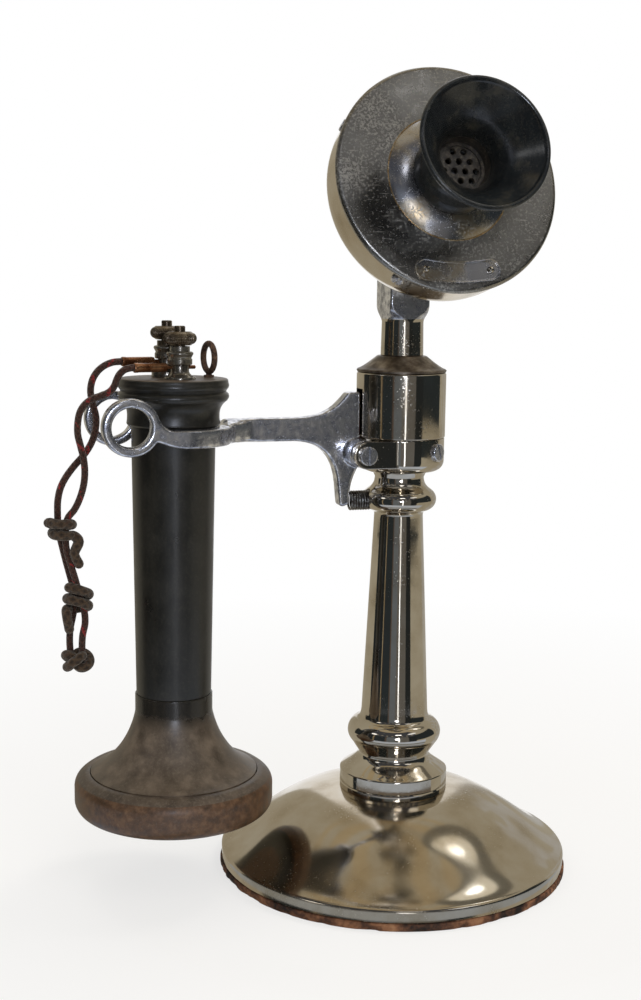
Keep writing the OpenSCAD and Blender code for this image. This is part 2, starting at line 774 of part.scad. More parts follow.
module receiver_bell() {
    socket_r = barrel_low_r + 0.5;
    color("dimgray") at_receiver() turned(concat(
        [[barrel_bore, bell_z], [socket_r - 0.3, bell_z], [socket_r, bell_z - 0.4]],
        curve([[socket_r, bell_z - 7], [socket_r + 1.6, bell_z - 16],
               [flange_r - 9.7, flange_z + 3.6], [flange_r, flange_z]], 14),
        [[flange_r, flange_low], [flange_r - 5.2, flange_low], [flange_r - 5.2, flange_z - 3.4]],
        back(curve([[barrel_bore, bell_z - 12], [barrel_bore + 1.3, bell_z - 20],
               [flange_r - 13.2, flange_z + 0.1], [flange_r - 5.2, flange_z - 3.4]], 10))));
}

module tail_cap() {
    rim = barrel_top_r + 1.6;
    color("darkslategray") at_receiver() turned(concat(
        [[0, spigot_z], [barrel_bore - fit, spigot_z], [barrel_bore - fit, tail_z], [rim - 0.4, tail_z]],
        arc(rim - 0.3, tail_z + 0.8, 0.4, -30, 30, 2),
        curve([[rim, tail_z + 1.4], [rim - 0.5, tail_z + 5.6],
               [rim + 0.1, tail_z + 7.6], [bead_r - 0.6, tail_z + 9.6]], 8),
        arc(bead_r - 1.7, tail_z + 11.1, 1.7, -40, 60, 6),
        [[bead_r - 1.1, tail_z + 12.9]],
        arc(bead_r - 2.2, tail_z + tail_h - 2.4, 2.2, -50, 80, 8),
        [[0, rec_top]]));
}

module ear_cap() {
    color("saddlebrown") at_receiver() turned(concat(
        [[flange_r + gap, ear_top], [flange_r + 1.6, ear_top + 0.1]],
        curve([[flange_r + 3, ear_top - 0.4], [ear_r - 0.8, ear_top - 1.8],
               [ear_r, ear_top - 3.4], [ear_r, ear_top - 6]], 7),
        curve([[ear_r, ear_top - 11], [ear_r - 0.3, ear_top - 14.4],
               [ear_r - 3.4, ear_z + 0.2], [ear_r - 6.5, ear_z]], 7),
        curve([[ear_r - 9, ear_z], [ear_r - 14, ear_z + 0.6],
               [ear_r - 17, ear_z + 4.8], [ear_hole_r + 4, ear_z + 5.2]], 8),
        [[ear_hole_r + 0.4, ear_z + 5.4], [ear_hole_r, ear_z + 5.8],
         [ear_hole_r, ledge_z - 0.6], [flange_r - 5, ledge_z - 0.6], [flange_r - 5, ledge_z],
         [flange_r + gap, ledge_z]]));
}

module receiver_diaphragm() {
    color("dimgray") at_receiver() translate([0, 0, flange_low - diaphragm_t])
        cylinder(r = flange_r - 0.4, h = diaphragm_t);
}

pole_y = 5;
plate_z = flange_z + 14.4;

module receiver_magnet() {
    color("gray") at_receiver() {
        for (s = [-1, 1]) translate([-4, s * pole_y - 2, plate_z + 2])
            cube([8, 4, spigot_z - plate_z - 2]);
        translate([-4, 2 - pole_y, spigot_z - 7]) cube([8, 2 * pole_y - 4, 7]);
    }
}

module pole_pieces() {
    color("slategray") at_receiver() for (s = [-1, 1])
        translate([-3.5, s * pole_y - 1.5, flange_low + 0.4]) cube([7, 3, plate_z + 2 - flange_low - 0.4]);
}

module pole_coils() {
    color("darkgreen") at_receiver() for (s = [-1, 1]) translate([0, s * pole_y, flange_low + 3])
        difference() {
            translate([-7, -4.4, 0]) cube([14, 8.8, 9]);
            translate([-3.5, -1.5, -1]) cube([7, 3, 11]);
        }
}

module coil_plate() {
    color("goldenrod") at_receiver() difference() {
        translate([0, 0, plate_z]) cylinder(r = barrel_bore + 0.4, h = 2);
        for (s = [-1, 1]) translate([-3.5, s * pole_y - 1.5, plate_z - 1]) cube([7, 3, 4]);
    }
}

// ---- Terminals on the receiver's top

module binding_posts() {
    foot = post_r + 0.8;
    body = post_r - 0.4;
    color("slategray") at_terminals() for (s = [-1, 1]) translate([0, s * post_half_gap, post_lift(s)])
        difference() {
            turned(concat([[0, -post_lift(s)], [foot, -post_lift(s)], [foot, 0.5]],
                curve([[foot - 0.2, 0.9], [post_waist_r + 1.4, 1.3], [post_waist_r + 0.3, 2],
                    [post_waist_r, 2.8]], 4),
                [[post_waist_r, 5.2], [body, 5.5], [body, 8]], arc(body - 0.4, 9.4, 0.8, -30, 90, 5),
                [[3.7, 10.6], [3.7, nut_seat], [2, nut_seat], [2, post_h], [0, post_h]]));
            translate([0, 0, tip_z]) rotate([0, 90, 0]) cylinder(r = pin_r + run, h = 20, center = true);
            translate([-3, -0.4, post_h - 1.2]) cube([6, 0.8, 2]);
        }
}

// A nut's serrated edge is a ring of small grooves
nut_r = post_half_gap - gap / 2;
nut_seat = 12.2;
module knurled_nut(z) {
    grooves = 36;
    at_terminals() translate([0, 0, z]) difference() {
        turned(concat([[2 + run, 0], [4.2, 0]], arc(nut_r - 1.7, 2.5, 1.7, -70, 70, 8),
            [[4.2, 5], [2 + run, 5]]));
        for (i = [0:grooves - 1]) rotate([0, 0, 360 * i / grooves]) translate([nut_r + 0.2, 0, -1])
            cylinder(r = 0.4, h = 7, $fn = 4);
    }
}

module front_nut() {
    color("slategray") translate(post_shift(-1)) knurled_nut(nut_seat + gap);
}

module back_nut() {
    color("slategray") translate(post_shift(1)) knurled_nut(nut_seat + gap + post_lift(1));
}

function post_shift(s) = s * post_half_gap * [-sin(terminal_turn), cos(terminal_turn), 0];

// The back post stands on a washer
function post_lift(s) = s > 0 ? post_washer_h : 0;

module hanging_ring() {
    color("sienna") at_terminals() translate([ring_out, 0, 0]) {
        translate([0, 0, eye_r + 1]) rotate([0, 90, 0])
            rotate_extrude() translate([eye_r - eye_wire / 2, 0]) circle(d = eye_wire, $fn = 24);
        cylinder(r = eye_wire / 2, h = 1 + eye_wire);
        cylinder(r = eye_wire / 2 + 0.8, h = 0.8);
    }
}

module cord_tips() {
    color("peru") at_terminals() for (s = [-1, 1]) translate([0, s * post_half_gap, tip_z + post_lift(s)])
        rotate([0, -90, 0]) {
            translate([0, 0, -post_r - 1.2]) cylinder(r = pin_r, h = post_r + 1.2 + tip_out);
            translate([0, 0, tip_out]) cylinder(r = tip_r, h = tip_len);
        }
}

// ---- Cord: two limp strands that hang from the tips, with three knots

tips_end = tip_out + tip_len;
function tip_point(s, out) = post_shift(s)
    + [rec_x - out * cos(terminal_turn), -out * sin(terminal_turn), rec_top + tip_z + post_lift(s)];

front_route = [
    [-111.8, -10, 202.9], [-113.6, -10.1, 201.3], [-114.7, -9.9, 199.2], [-115.4, -9.4, 197.1],
    [-116.8, -8.7, 195.1], [-119.2, -7.6, 193.6], [-122.4, -6.2, 192.4], [-125.2, -5.2, 190.4],
    [-127.2, -4.6, 187.4], [-128, -4, 183.5], [-128, -3.5, 179], [-127, -3.5, 174.5], [-126, -3.5, 170],
    [-125.5, -3, 165], [-126, -3, 160], [-127.5, -3, 155], [-129.5, -3, 151], [-132, -2.4, 147.5],
    [-132.8, -2.4, 142], [-132.5, -2.4, 136], [-131, -3, 130], [-129.3, -3, 124], [-127.8, -2.4, 118],
    [-126.3, -2.4, 113], [-126, -3, 108], [-127, -3, 103], [-127.2, -2.6, 98], [-127, -2.4, 94]];

back_route = [
    [-114.2, 2.2, 204.9], [-117.2, 1.8, 203.7], [-119.8, 1.4, 201.6], [-121.6, 1.1, 198.8],
    [-122.4, 1, 195.4], [-122.2, 1, 192], [-121.4, 1, 188.6],
    [-120.5, 1, 184.5], [-120.8, 1, 180], [-122.2, 1, 175.5], [-125, 1, 171], [-129, 1, 166.5],
    [-132, 1, 162.5], [-134, 1, 158.5], [-135, 1, 154], [-135.2, 0.7, 149.5], [-135.1, 0.4, 145],
    [-134.5, 0.4, 140.5], [-133.5, 0.6, 136], [-132.3, 1, 131], [-130.9, 1, 125.5], [-129.6, 0.6, 120],
    [-129.3, 0.4, 115], [-130, 0.8, 110], [-131, 1, 105], [-131.3, 0.8, 100], [-131, 0.4, 94]];

module strand(s, route) {
    start = [tip_point(s, tips_end), tip_point(s, tips_end + 1.3)];
    color("#4a2a1e") tube(concat(start, route), cord_d / 2, 8);
}

module cord_front() {
    strand(-1, front_route);
}

module cord_back() {
    strand(1, back_route);
}

// Two knots are wraps of a second cord round both strands, with loose ends
wrap_r = 3.9;
wrap_pitch = 3.1;
wrap_rings = 24;
upper_wrap = wrap_line(3);
lower_wrap = wrap_line(2.5);
echo(wrap_gap = least_gap(upper_wrap, cord_d, wrap_rings / 2));

function loose(p, q) = p + 3 * unit(p - q);
function with_ends(p) = concat([loose(p[0], p[1])], p, [loose(p[len(p) - 1], p[len(p) - 2])]);
function wrap_line(turns) =
    with_ends([for (i = [0:wrap_rings * turns]) let (a = 360 * i / wrap_rings)
        [wrap_r * cos(a), wrap_r * sin(a), -wrap_pitch * i / wrap_rings]]);

module cord_knots() {
    color("#5a4030") {
        translate([-133.8, -1, 146]) rotate([0, 6, 200]) tube(upper_wrap, cord_d / 2, 6);
        translate([-128.6, -1, 121]) rotate([0, -12, 220]) tube(lower_wrap, cord_d / 2, 6);
        translate([-129, -1, 93.2]) turned(concat([[0, -3.8], [2, -3.8]], arc(2, 0, 3.8, -75, 75, 10),
            [[2, 3.8], [0, 3.8]]));
    }
}

base_pad();
base_weight();
base_shell();
cord_bushing();
foot_flange();
clamp_tube();
clamp_nuts();
pillar();
lever_bracket();
bracket_screws();
lever_pivot_screw();
switch_cup();
switch_block();
switch_springs();
cup_cap();
stem();
tilt_screw();
hook_lever();
hook_spring();
transmitter_case();
tilt_lug();
transmitter_face();
name_plate();
plate_rivets();
rim_screws();
diaphragm_gasket();
transmitter_diaphragm();
carbon_button();
button_bridge();
damping_springs();
mouthpiece();
receiver_barrel();
receiver_bell();
tail_cap();
ear_cap();
receiver_diaphragm();
receiver_magnet();
pole_pieces();
pole_coils();
coil_plate();
binding_posts();
front_nut();
back_nut();
hanging_ring();
cord_tips();
cord_front();
cord_back();
cord_knots();
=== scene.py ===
# %% [markdown]
# # A candlestick telephone
# A desk telephone of about 1910: a turned pillar on a domed base, a round transmitter with a
# mouthpiece, and a long receiver that hangs in the fork of the switch lever.
# The imported model is the frame. Each node comes from it, in metres, and nothing in it moves.

import math

import bmesh
import bpy
from mathutils import Matrix, Vector, noise


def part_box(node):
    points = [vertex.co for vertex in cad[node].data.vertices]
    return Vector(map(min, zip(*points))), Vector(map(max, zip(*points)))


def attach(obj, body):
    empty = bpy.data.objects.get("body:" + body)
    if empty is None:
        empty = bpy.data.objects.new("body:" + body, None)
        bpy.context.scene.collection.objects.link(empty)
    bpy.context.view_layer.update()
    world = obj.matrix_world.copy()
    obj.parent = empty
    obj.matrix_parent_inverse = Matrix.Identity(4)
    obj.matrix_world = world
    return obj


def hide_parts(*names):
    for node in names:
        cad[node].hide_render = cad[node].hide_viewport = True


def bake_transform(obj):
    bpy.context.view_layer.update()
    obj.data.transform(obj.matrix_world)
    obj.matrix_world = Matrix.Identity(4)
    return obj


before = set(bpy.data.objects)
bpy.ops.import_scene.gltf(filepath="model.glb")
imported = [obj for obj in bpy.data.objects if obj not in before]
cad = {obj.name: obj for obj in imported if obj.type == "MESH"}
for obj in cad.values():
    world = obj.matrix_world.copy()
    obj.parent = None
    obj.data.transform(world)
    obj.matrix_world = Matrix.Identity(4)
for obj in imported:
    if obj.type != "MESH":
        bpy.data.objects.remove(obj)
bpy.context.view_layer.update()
MM = 0.001

# %% [markdown]
# ## Camera
# The camera stands to the left of the mouthpiece, a little above the fork, 0.6 m from the pillar.
# It is aimed with three angles: a turn from +Y towards +X, a dip, and a slight lean of the picture.
# Building its matrix from those angles keeps the view exact, with no constraint to solve.

# %% Place the camera
CAMERA_AT = Vector((-0.2078, -0.5356, 0.2361))
TURN, DIP, LEAN = (math.radians(a) for a in (18.09, 8.60, 0.776))
VERTICAL = Vector((0, 0, 1))
forward = Vector((math.sin(TURN) * math.cos(DIP), math.cos(TURN) * math.cos(DIP), -math.sin(DIP)))
level_right = forward.cross(VERTICAL).normalized()
level_up = level_right.cross(forward)
right = math.cos(LEAN) * level_right + math.sin(LEAN) * level_up
up = math.cos(LEAN) * level_up - math.sin(LEAN) * level_right
camera = bpy.data.objects.new("camera", bpy.data.cameras.new("camera"))
camera.matrix_world = Matrix.Translation(CAMERA_AT) @ Matrix((right, up, -forward)).transposed().to_4x4()
camera.data.sensor_width = 36
camera.data.lens = 52.315
bpy.context.scene.collection.objects.link(camera)
bpy.context.scene.camera = camera
bpy.context.scene.view_settings.view_transform = "Standard"
print("the camera looks along", [round(c, 3) for c in forward])

# %% [markdown]
# ## Small helpers
# Colours are written as sRGB hex, the way a paint chart gives them, and one function turns them to
# the linear values that a shader works in. One function adds a node with its settings and links.
# A texture's scale comes from the real size of its marks, because the scene is in metres.

# %% Colour, node and scale helpers
def linear(hex_colour):
    """An sRGB hex colour as linear red, green, blue and alpha."""
    parts = [int(hex_colour[i:i + 2], 16) / 255 for i in (1, 3, 5)]
    return [c / 12.92 if c <= 0.04045 else ((c + 0.055) / 1.055) ** 2.4 for c in parts] + [1.0]


def feed(tree, node, inputs):
    """Gives a node's inputs their values and hex colours, or links in what feeds them."""
    for name, value in inputs.items():
        if isinstance(value, bpy.types.Node):
            value = value.outputs[0]
        if isinstance(value, bpy.types.NodeSocket):
            tree.links.new(value, node.inputs[name])
        elif isinstance(value, str):
            node.inputs[name].default_value = linear(value)
        else:
            node.inputs[name].default_value = value


def add(tree, kind, *values, stops=(), **named):
    """Adds a node. The values go to its first inputs, in order. A name in small letters is a
    setting, and one with a capital is an input, with _ for a space. Stops are a ramp's places
    and hex colours."""
    node = tree.nodes.new("ShaderNode" + kind)
    inputs = dict(enumerate(values))
    for name, value in named.items():
        if name.islower():
            setattr(node, name, value)
        else:
            inputs[name.replace("_", " ")] = value
    feed(tree, node, inputs)
    for i, (place, hex_colour) in enumerate(stops):
        element = node.color_ramp.elements[i] if i < 2 else node.color_ramp.elements.new(place)
        element.position = place
        element.color = linear(hex_colour)
    return node


def marks(size_mm):
    """The scale at which a texture's marks are about this many millimetres across."""
    return 1 / (size_mm * MM)


def blank(name, **sockets):
    """A material, its node tree, its Principled shader, and the piece's coordinates in metres."""
    material = bpy.data.materials.new(name)
    material.use_nodes = True
    tree = material.node_tree
    shader = tree.nodes["Principled BSDF"]
    for socket, value in sockets.items():
        shader.inputs[socket.replace("_", " ")].default_value = value
    return material, tree, shader, add(tree, "TexCoord").outputs["Object"]


# %% [markdown]
# ## Making meshes
# Nearly every piece of such a telephone was turned on a lathe, spun from sheet, or cast. A turned
# piece is an outline that goes once round its axis, so the outlines are drawn first, as arcs and
# cubic curves in millimetres. They are cut fine, because a mirror finish shows every flat.

# %% Outlines
def arc(x, z, radius, start, end, steps=14):
    """Points of an arc, with its angles in degrees."""
    turns = [math.radians(start + (end - start) * i / steps) for i in range(steps + 1)]
    return [(x + radius * math.cos(t), z + radius * math.sin(t)) for t in turns]


def curve(a, b, c, d, steps=28):
    """Points of a cubic curve from a to d, drawn towards b and c."""
    points = []
    for i in range(steps + 1):
        t = i / steps
        shares = ((1 - t) ** 3, 3 * t * (1 - t) ** 2, 3 * t * t * (1 - t), t ** 3)
        points.append(tuple(sum(s * p[axis] for s, p in zip(shares, (a, b, c, d))) for axis in (0, 1)))
    return points


def raised(height, points):
    """The points of an outline, moved up by a height."""
    return [(radius, z + height) for radius, z in points]


# %% [markdown]
# A new mesh is welded, its normals point outward, and it is shaded smooth except across edges
# sharper than 32 degrees: a lathe leaves a crisp shoulder and a soft curve on one part.
# The last line of each outline joins its first one, and a point on the axis becomes a pole.

# %% Points to a mesh, and the lathe
def soften(mesh, angle=32):
    """Smooth shading, with edges sharper than the angle left crisp."""
    mesh.shade_smooth()
    mesh.set_sharp_from_angle(angle=math.radians(angle))


def to_scene(name, data):
    """A new object in the scene that holds this mesh or lamp."""
    thing = bpy.data.objects.new(name, data)
    bpy.context.scene.collection.objects.link(thing)
    return thing


def to_object(name, points, faces, place=Matrix()):
    """A mesh object from points and faces in millimetres, put in its place in the frame."""
    mesh = bpy.data.meshes.new(name)
    mesh.from_pydata([(place @ Vector(p)) * MM for p in points], [], faces)
    work = bmesh.new()
    work.from_mesh(mesh)
    bmesh.ops.remove_doubles(work, verts=work.verts, dist=1e-7)
    bmesh.ops.recalc_face_normals(work, faces=work.faces)
    work.to_mesh(mesh)
    work.free()
    soften(mesh)
    return to_scene(name, mesh)


def turned(name, outline, place=Matrix(), steps=160):
    """Turns a closed outline of (radius, height) points about its axis."""
    points, rings = [], []
    for radius, height in outline:
        if radius < 1e-6:
            rings.append([len(points)] * steps)
            points.append((0, 0, height))
            continue
        rings.append(list(range(len(points), len(points) + steps)))
        for k in range(steps):
            t = 2 * math.pi * k / steps
            points.append((radius * math.cos(t), radius * math.sin(t), height))
    faces = []
    for ring, after in zip(rings, rings[1:] + rings[:1]):
        for k in range(steps):
            corners = (ring[k], ring[(k + 1) % steps], after[(k + 1) % steps], after[k])
            corners = list(dict.fromkeys(corners))
            if len(corners) > 2:
                faces.append(corners)
    return to_object(name, points, faces, place)


def rod(name, radius, low, high, place, steps=48):
    """A plain cylinder between two heights."""
    return turned(name, [(0, low), (radius, low), (radius, high), (0, high)], place, steps)


def turn_by(degrees, axis):
    """The matrix of a turn about one axis of the frame."""
    return Matrix.Rotation(math.radians(degrees), 4, axis)


# %% [markdown]
# Milled and cast pieces start from boxes and from copies of the CAD solids, and are finished with
# modifiers: Boolean cuts a slot, Remesh and Smooth round the edges as wear does. Each modifier's
# result is kept as the mesh, so that nothing is left to work out later.

# %% Blocks, copies and modifiers
def block(low, high, place=Matrix()):
    """A box from its low to its high corner, in millimetres, for cutting slots."""
    points = [(x, y, z) for x in (low[0], high[0]) for y in (low[1], high[1]) for z in (low[2], high[2])]
    faces = [(0, 1, 3, 2), (4, 6, 7, 5), (0, 4, 5, 1), (2, 3, 7, 6), (0, 2, 6, 4), (1, 5, 7, 3)]
    return to_object("slot", points, faces, place)


def shaped(piece, kind, **settings):
    """Adds a modifier and keeps its result as the mesh."""
    modifier = piece.modifiers.new(kind, kind)
    for name, value in settings.items():
        setattr(modifier, name, value)
    graph = bpy.context.evaluated_depsgraph_get()
    mesh = bpy.data.meshes.new_from_object(piece.evaluated_get(graph))
    piece.modifiers.clear()
    piece.data = mesh
    soften(mesh)
    return piece


def cut(piece, *tools):
    """Takes the tools' shapes out of the piece."""
    for tool in tools:
        shaped(piece, "BOOLEAN", operation="DIFFERENCE", solver="EXACT", object=tool)
        bpy.data.objects.remove(tool)
    return piece


def worn_copy(node, name, voxel, rounds):
    """A copy of a CAD node with all its edges rounded: rebuilt from cubes of this many
    millimetres, then smoothed."""
    piece = to_scene(name, cad[node].data.copy())
    shaped(piece, "REMESH", mode="VOXEL", voxel_size=voxel * MM)
    return shaped(piece, "SMOOTH", factor=0.5, iterations=rounds)


def joined(name, *parts):
    """One object that holds the meshes of all the parts."""
    work = bmesh.new()
    for part in parts:
        work.from_mesh(part.data)
    mesh = bpy.data.meshes.new(name)
    work.to_mesh(mesh)
    work.free()
    for part in parts:
        bpy.data.objects.remove(part)
    soften(mesh)
    return to_scene(name, mesh)


# %% [markdown]
# Each new piece is finished by one call: it gets its material, rides on its body, and hides the
# CAD nodes that it stands for.

# %% Finish a piece
def finish_piece(piece, material, slot, body, *stands_for):
    """Gives a piece its material and body, and hides the nodes that it replaces. Its slot is not used."""
    piece.data.materials.clear()
    piece.data.materials.append(material)
    if body:
        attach(piece, body)
    if stands_for:
        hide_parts(*stands_for)
    size = [max(c[i] for c in piece.bound_box) - min(c[i] for c in piece.bound_box) for i in range(3)]
    print(piece.name, "is", " x ".join(f"{s / MM:.1f}" for s in size), "mm")


def second_finish(piece, material, place, chosen):
    """Gives another material to the faces that are chosen by their radius and height about the
    axis that the piece was turned on."""
    piece.data.materials.append(material)
    back = place.inverted()
    for polygon in piece.data.polygons:
        at = back @ (polygon.center / MM)
        if chosen(math.hypot(at.x, at.y), at.z):
            polygon.material_index = len(piece.data.materials) - 1


# %% [markdown]
# ## Cord material
# The receiver cord is braided cotton: dark brown threads that cross at a slant, with a red tracer
# thread that is left only in flecks, dull with the dust of a century. The braid is drawn on the
# tube's UV map, which counts turns round the cord and metres along it. Real threads are 0.25 mm,
# too fine for the picture, so they are drawn 0.8 mm wide. The knots are tied in a browner twine.

# %% Braided cotton
def braided_cotton(name, threads, tracer, stops):
    """Cotton braid of so many threads round the cord, with a tracer of its own colour."""
    material, tree, shader, place = blank(name, Roughness=0.95, Sheen_Weight=0.25, Sheen_Roughness=0.6,
                                          Specular_IOR_Level=0.2)
    across = add(tree, "SeparateXYZ", add(tree, "UVMap", uv_map="along"))
    turns, metres = across.outputs["X"], across.outputs["Y"]
    slants = []
    for lean in (1, -1):
        drift = add(tree, "Math", metres, lean * threads * marks(10.4), operation="MULTIPLY")
        phase = add(tree, "Math", turns, float(threads), drift, operation="MULTIPLY_ADD")
        wave = add(tree, "Math", phase, 2 * math.pi, operation="MULTIPLY")
        slants.append(add(tree, "Math", wave, operation="SINE"))
    braid = add(tree, "Math", *slants, operation="MAXIMUM")
    height = add(tree, "MapRange", braid, -1.0)
    fuzz = add(tree, "TexNoise", Vector=place, Scale=marks(1.1), Detail=4.0)
    fuzz_tone = add(tree, "Math", fuzz, 0.7, -0.15, operation="MULTIPLY_ADD")
    # The raised threads are painted lighter and the grooves between them darker: painted shade, over a
    # random fuzz of tone.
    thread_tone_and_groove_shade = add(tree, "Math", height, 0.4, fuzz_tone, operation="MULTIPLY_ADD")
    brown = add(tree, "ValToRGB", thread_tone_and_groove_shade, stops=stops)
    wound = add(tree, "Math", metres, marks(9), turns, operation="MULTIPLY_ADD")
    fleck = add(tree, "Math", wound, operation="FRACT")
    narrow = add(tree, "Math", fleck, 0.22, operation="LESS_THAN")
    faded = add(tree, "TexNoise", Vector=place, Scale=marks(7))
    left = add(tree, "Math", faded, 0.54, operation="GREATER_THAN")
    kept = add(tree, "Math", narrow, left, operation="MULTIPLY")
    broken = add(tree, "Math", kept, height, operation="MULTIPLY")
    colour = add(tree, "MixRGB", broken, brown, tracer)
    bump = add(tree, "Bump", Height=height, Strength=0.7, Distance=0.35 * MM)
    feed(tree, shader, {"Base Color": colour, "Normal": bump})
    return material


cord_braid = braided_cotton("braided cotton cord", 5, "#7d1c1e",
                            ((0.1, "#1b0e0a"), (0.45, "#331b13"), (0.7, "#44271c"), (0.95, "#59392b")))
knot_braid = braided_cotton("frayed cotton twine", 4, "#3d291d",
                            ((0.1, "#1d140e"), (0.45, "#35281c"), (0.7, "#4b3b2c"), (0.95, "#6b5844")))
print("two cotton braids")

# %% [markdown]
# ## The cord
# Two limp strands leave the copper tips on top of the receiver and hang down beside it, twisted
# round each other. They are as long as they show, about 124 mm each, with no bend tighter than two
# diameters. Their points repeat the CAD's route, now in metres, and a Catmull-Rom line joins them.

# %% Cord routes
CORD_D = 0.0026
FRONT_EXIT = (-0.108214, -0.009446, 0.20355)
BACK_EXIT = (-0.110436, 0.003160, 0.20515)
FRONT_ROUTE = [
    FRONT_EXIT, (-0.109494, -0.009672, 0.20355), (-0.1118, -0.0100, 0.2029), (-0.1136, -0.0101, 0.2013),
    (-0.1147, -0.0099, 0.1992), (-0.1154, -0.0094, 0.1971), (-0.1168, -0.0087, 0.1951),
    (-0.1192, -0.0076, 0.1936), (-0.1224, -0.0062, 0.1924), (-0.1252, -0.0052, 0.1904),
    (-0.1272, -0.0046, 0.1874), (-0.1280, -0.0040, 0.1835), (-0.1280, -0.0035, 0.1790),
    (-0.1270, -0.0035, 0.1745), (-0.1260, -0.0035, 0.1700), (-0.1255, -0.0030, 0.1650),
    (-0.1260, -0.0030, 0.1600), (-0.1275, -0.0030, 0.1550), (-0.1295, -0.0030, 0.1510),
    (-0.1320, -0.0024, 0.1475), (-0.1328, -0.0024, 0.1420), (-0.1325, -0.0024, 0.1360),
    (-0.1310, -0.0030, 0.1300), (-0.1293, -0.0030, 0.1240), (-0.1278, -0.0024, 0.1180),
    (-0.1263, -0.0024, 0.1130), (-0.1260, -0.0030, 0.1080), (-0.1270, -0.0030, 0.1030),
    (-0.1272, -0.0026, 0.0980), (-0.1270, -0.0024, 0.0940)]
BACK_ROUTE = [
    BACK_EXIT, (-0.111716, 0.002934, 0.20515), (-0.1142, 0.0022, 0.2049), (-0.1172, 0.0018, 0.2037),
    (-0.1198, 0.0014, 0.2016), (-0.1216, 0.0011, 0.1988), (-0.1224, 0.0010, 0.1954),
    (-0.1222, 0.0010, 0.1920), (-0.1214, 0.0010, 0.1886), (-0.1205, 0.0010, 0.1845),
    (-0.1208, 0.0010, 0.1800), (-0.1222, 0.0010, 0.1755), (-0.1250, 0.0010, 0.1710),
    (-0.1290, 0.0010, 0.1665), (-0.1320, 0.0010, 0.1625), (-0.1340, 0.0010, 0.1585),
    (-0.1350, 0.0010, 0.1540), (-0.1352, 0.0007, 0.1495), (-0.1351, 0.0004, 0.1450),
    (-0.1345, 0.0004, 0.1405), (-0.1335, 0.0006, 0.1360), (-0.1323, 0.0010, 0.1310),
    (-0.1309, 0.0010, 0.1255), (-0.1296, 0.0006, 0.1200), (-0.1293, 0.0004, 0.1150),
    (-0.1300, 0.0008, 0.1100), (-0.1310, 0.0010, 0.1050), (-0.1313, 0.0008, 0.1000),
    (-0.1310, 0.0004, 0.0940)]


def smooth_line(points, steps):
    """A Catmull-Rom line through the points, with so many steps between two of them."""
    points = [Vector(p) for p in points]
    ends = [2 * points[0] - points[1]] + points + [2 * points[-1] - points[-2]]
    line = []
    for a, b, c, d in zip(ends, ends[1:], ends[2:], ends[3:]):
        for i in range(steps):
            t = i / steps
            line.append(0.5 * (2 * b + (c - a) * t + (2 * a - 5 * b + 4 * c - d) * t * t
                               + (3 * b - a - 3 * c + d) * t ** 3))
    return line + [points[-1]]


def length_of(line):
    """How long a line of points is."""
    return sum((b - a).length for a, b in zip(line, line[1:]))


# %% [markdown]
# A cord is a circle carried along its line. Each ring's side direction comes from the ring before
# it, so the tube doesn't twist, and the UV map of turns and metres is written at the same time.

# %% The tube
def tube(name, line, radius, sides=20):
    """A tube in metres along a line, with round ends and a UV map of turns and metres.
    The radius is a number, or a function of the share of the way along."""
    rings, done, side = [], 0.0, Vector((0.3, 1, 0.2))
    for i, here in enumerate(line):
        heading = (line[min(i + 1, len(line) - 1)] - line[max(i - 1, 0)]).normalized()
        side = (side - side.dot(heading) * heading).normalized()
        done += (here - line[i - 1]).length if i else 0
        size = radius(i / (len(line) - 1)) if callable(radius) else radius
        rings.append((here, heading, side, size, done))
    for end in (0, -1):
        here, heading, side, size, done = rings[end]
        for degrees in (25, 50, 75, 88):
            t, back = math.radians(degrees), -1 if end == 0 else 1
            ring = (here + back * size * math.sin(t) * heading, heading, side, size * math.cos(t),
                    done + back * size * math.sin(t))
            rings.insert(0 if end == 0 else len(rings), ring)
    points = [here + size * (math.cos(t) * side + math.sin(t) * heading.cross(side))
              for here, heading, side, size, done in rings
              for t in (2 * math.pi * k / sides for k in range(sides))]
    faces, maps = [], []
    for i in range(len(rings) - 1):
        low, high = rings[i][4], rings[i + 1][4]
        for k in range(sides):
            after = (k + 1) % sides
            faces.append((i * sides + k, i * sides + after, (i + 1) * sides + after, (i + 1) * sides + k))
            maps += [(k / sides, low), ((k + 1) / sides, low), ((k + 1) / sides, high), (k / sides, high)]
    for first in (0, (len(rings) - 1) * sides):
        faces.append(tuple(first + k for k in (range(sides)[::-1] if first == 0 else range(sides))))
        maps += [(k / sides, rings[0 if first == 0 else -1][4]) for k in range(sides)]
    mesh = bpy.data.meshes.new(name)
    mesh.from_pydata(points, [], faces)
    layer = mesh.uv_layers.new(name="along")
    for corner, uv in zip(layer.data, maps):
        corner.uv = uv
    soften(mesh, 60)
    return to_scene(name, mesh)


# %% [markdown]
# ## Knots
# Where the strands are tied together, twine is wound round both, about one and a half turns at the
# upper knot and two at the lower, with a loose end that hangs down. At the bottom the strands end in
# an overhand knot, drawn as a trefoil: the line that such a knot makes when it is pulled tight.

# %% Strands and knots
front_line, back_line = smooth_line(FRONT_ROUTE, 8), smooth_line(BACK_ROUTE, 8)
front_strand = tube("front_strand", front_line, CORD_D / 2)
back_strand = tube("back_strand", back_line, CORD_D / 2)
TWINE, WRAP_R, WRAP_DROP = 1.45, 3.7, 4.4


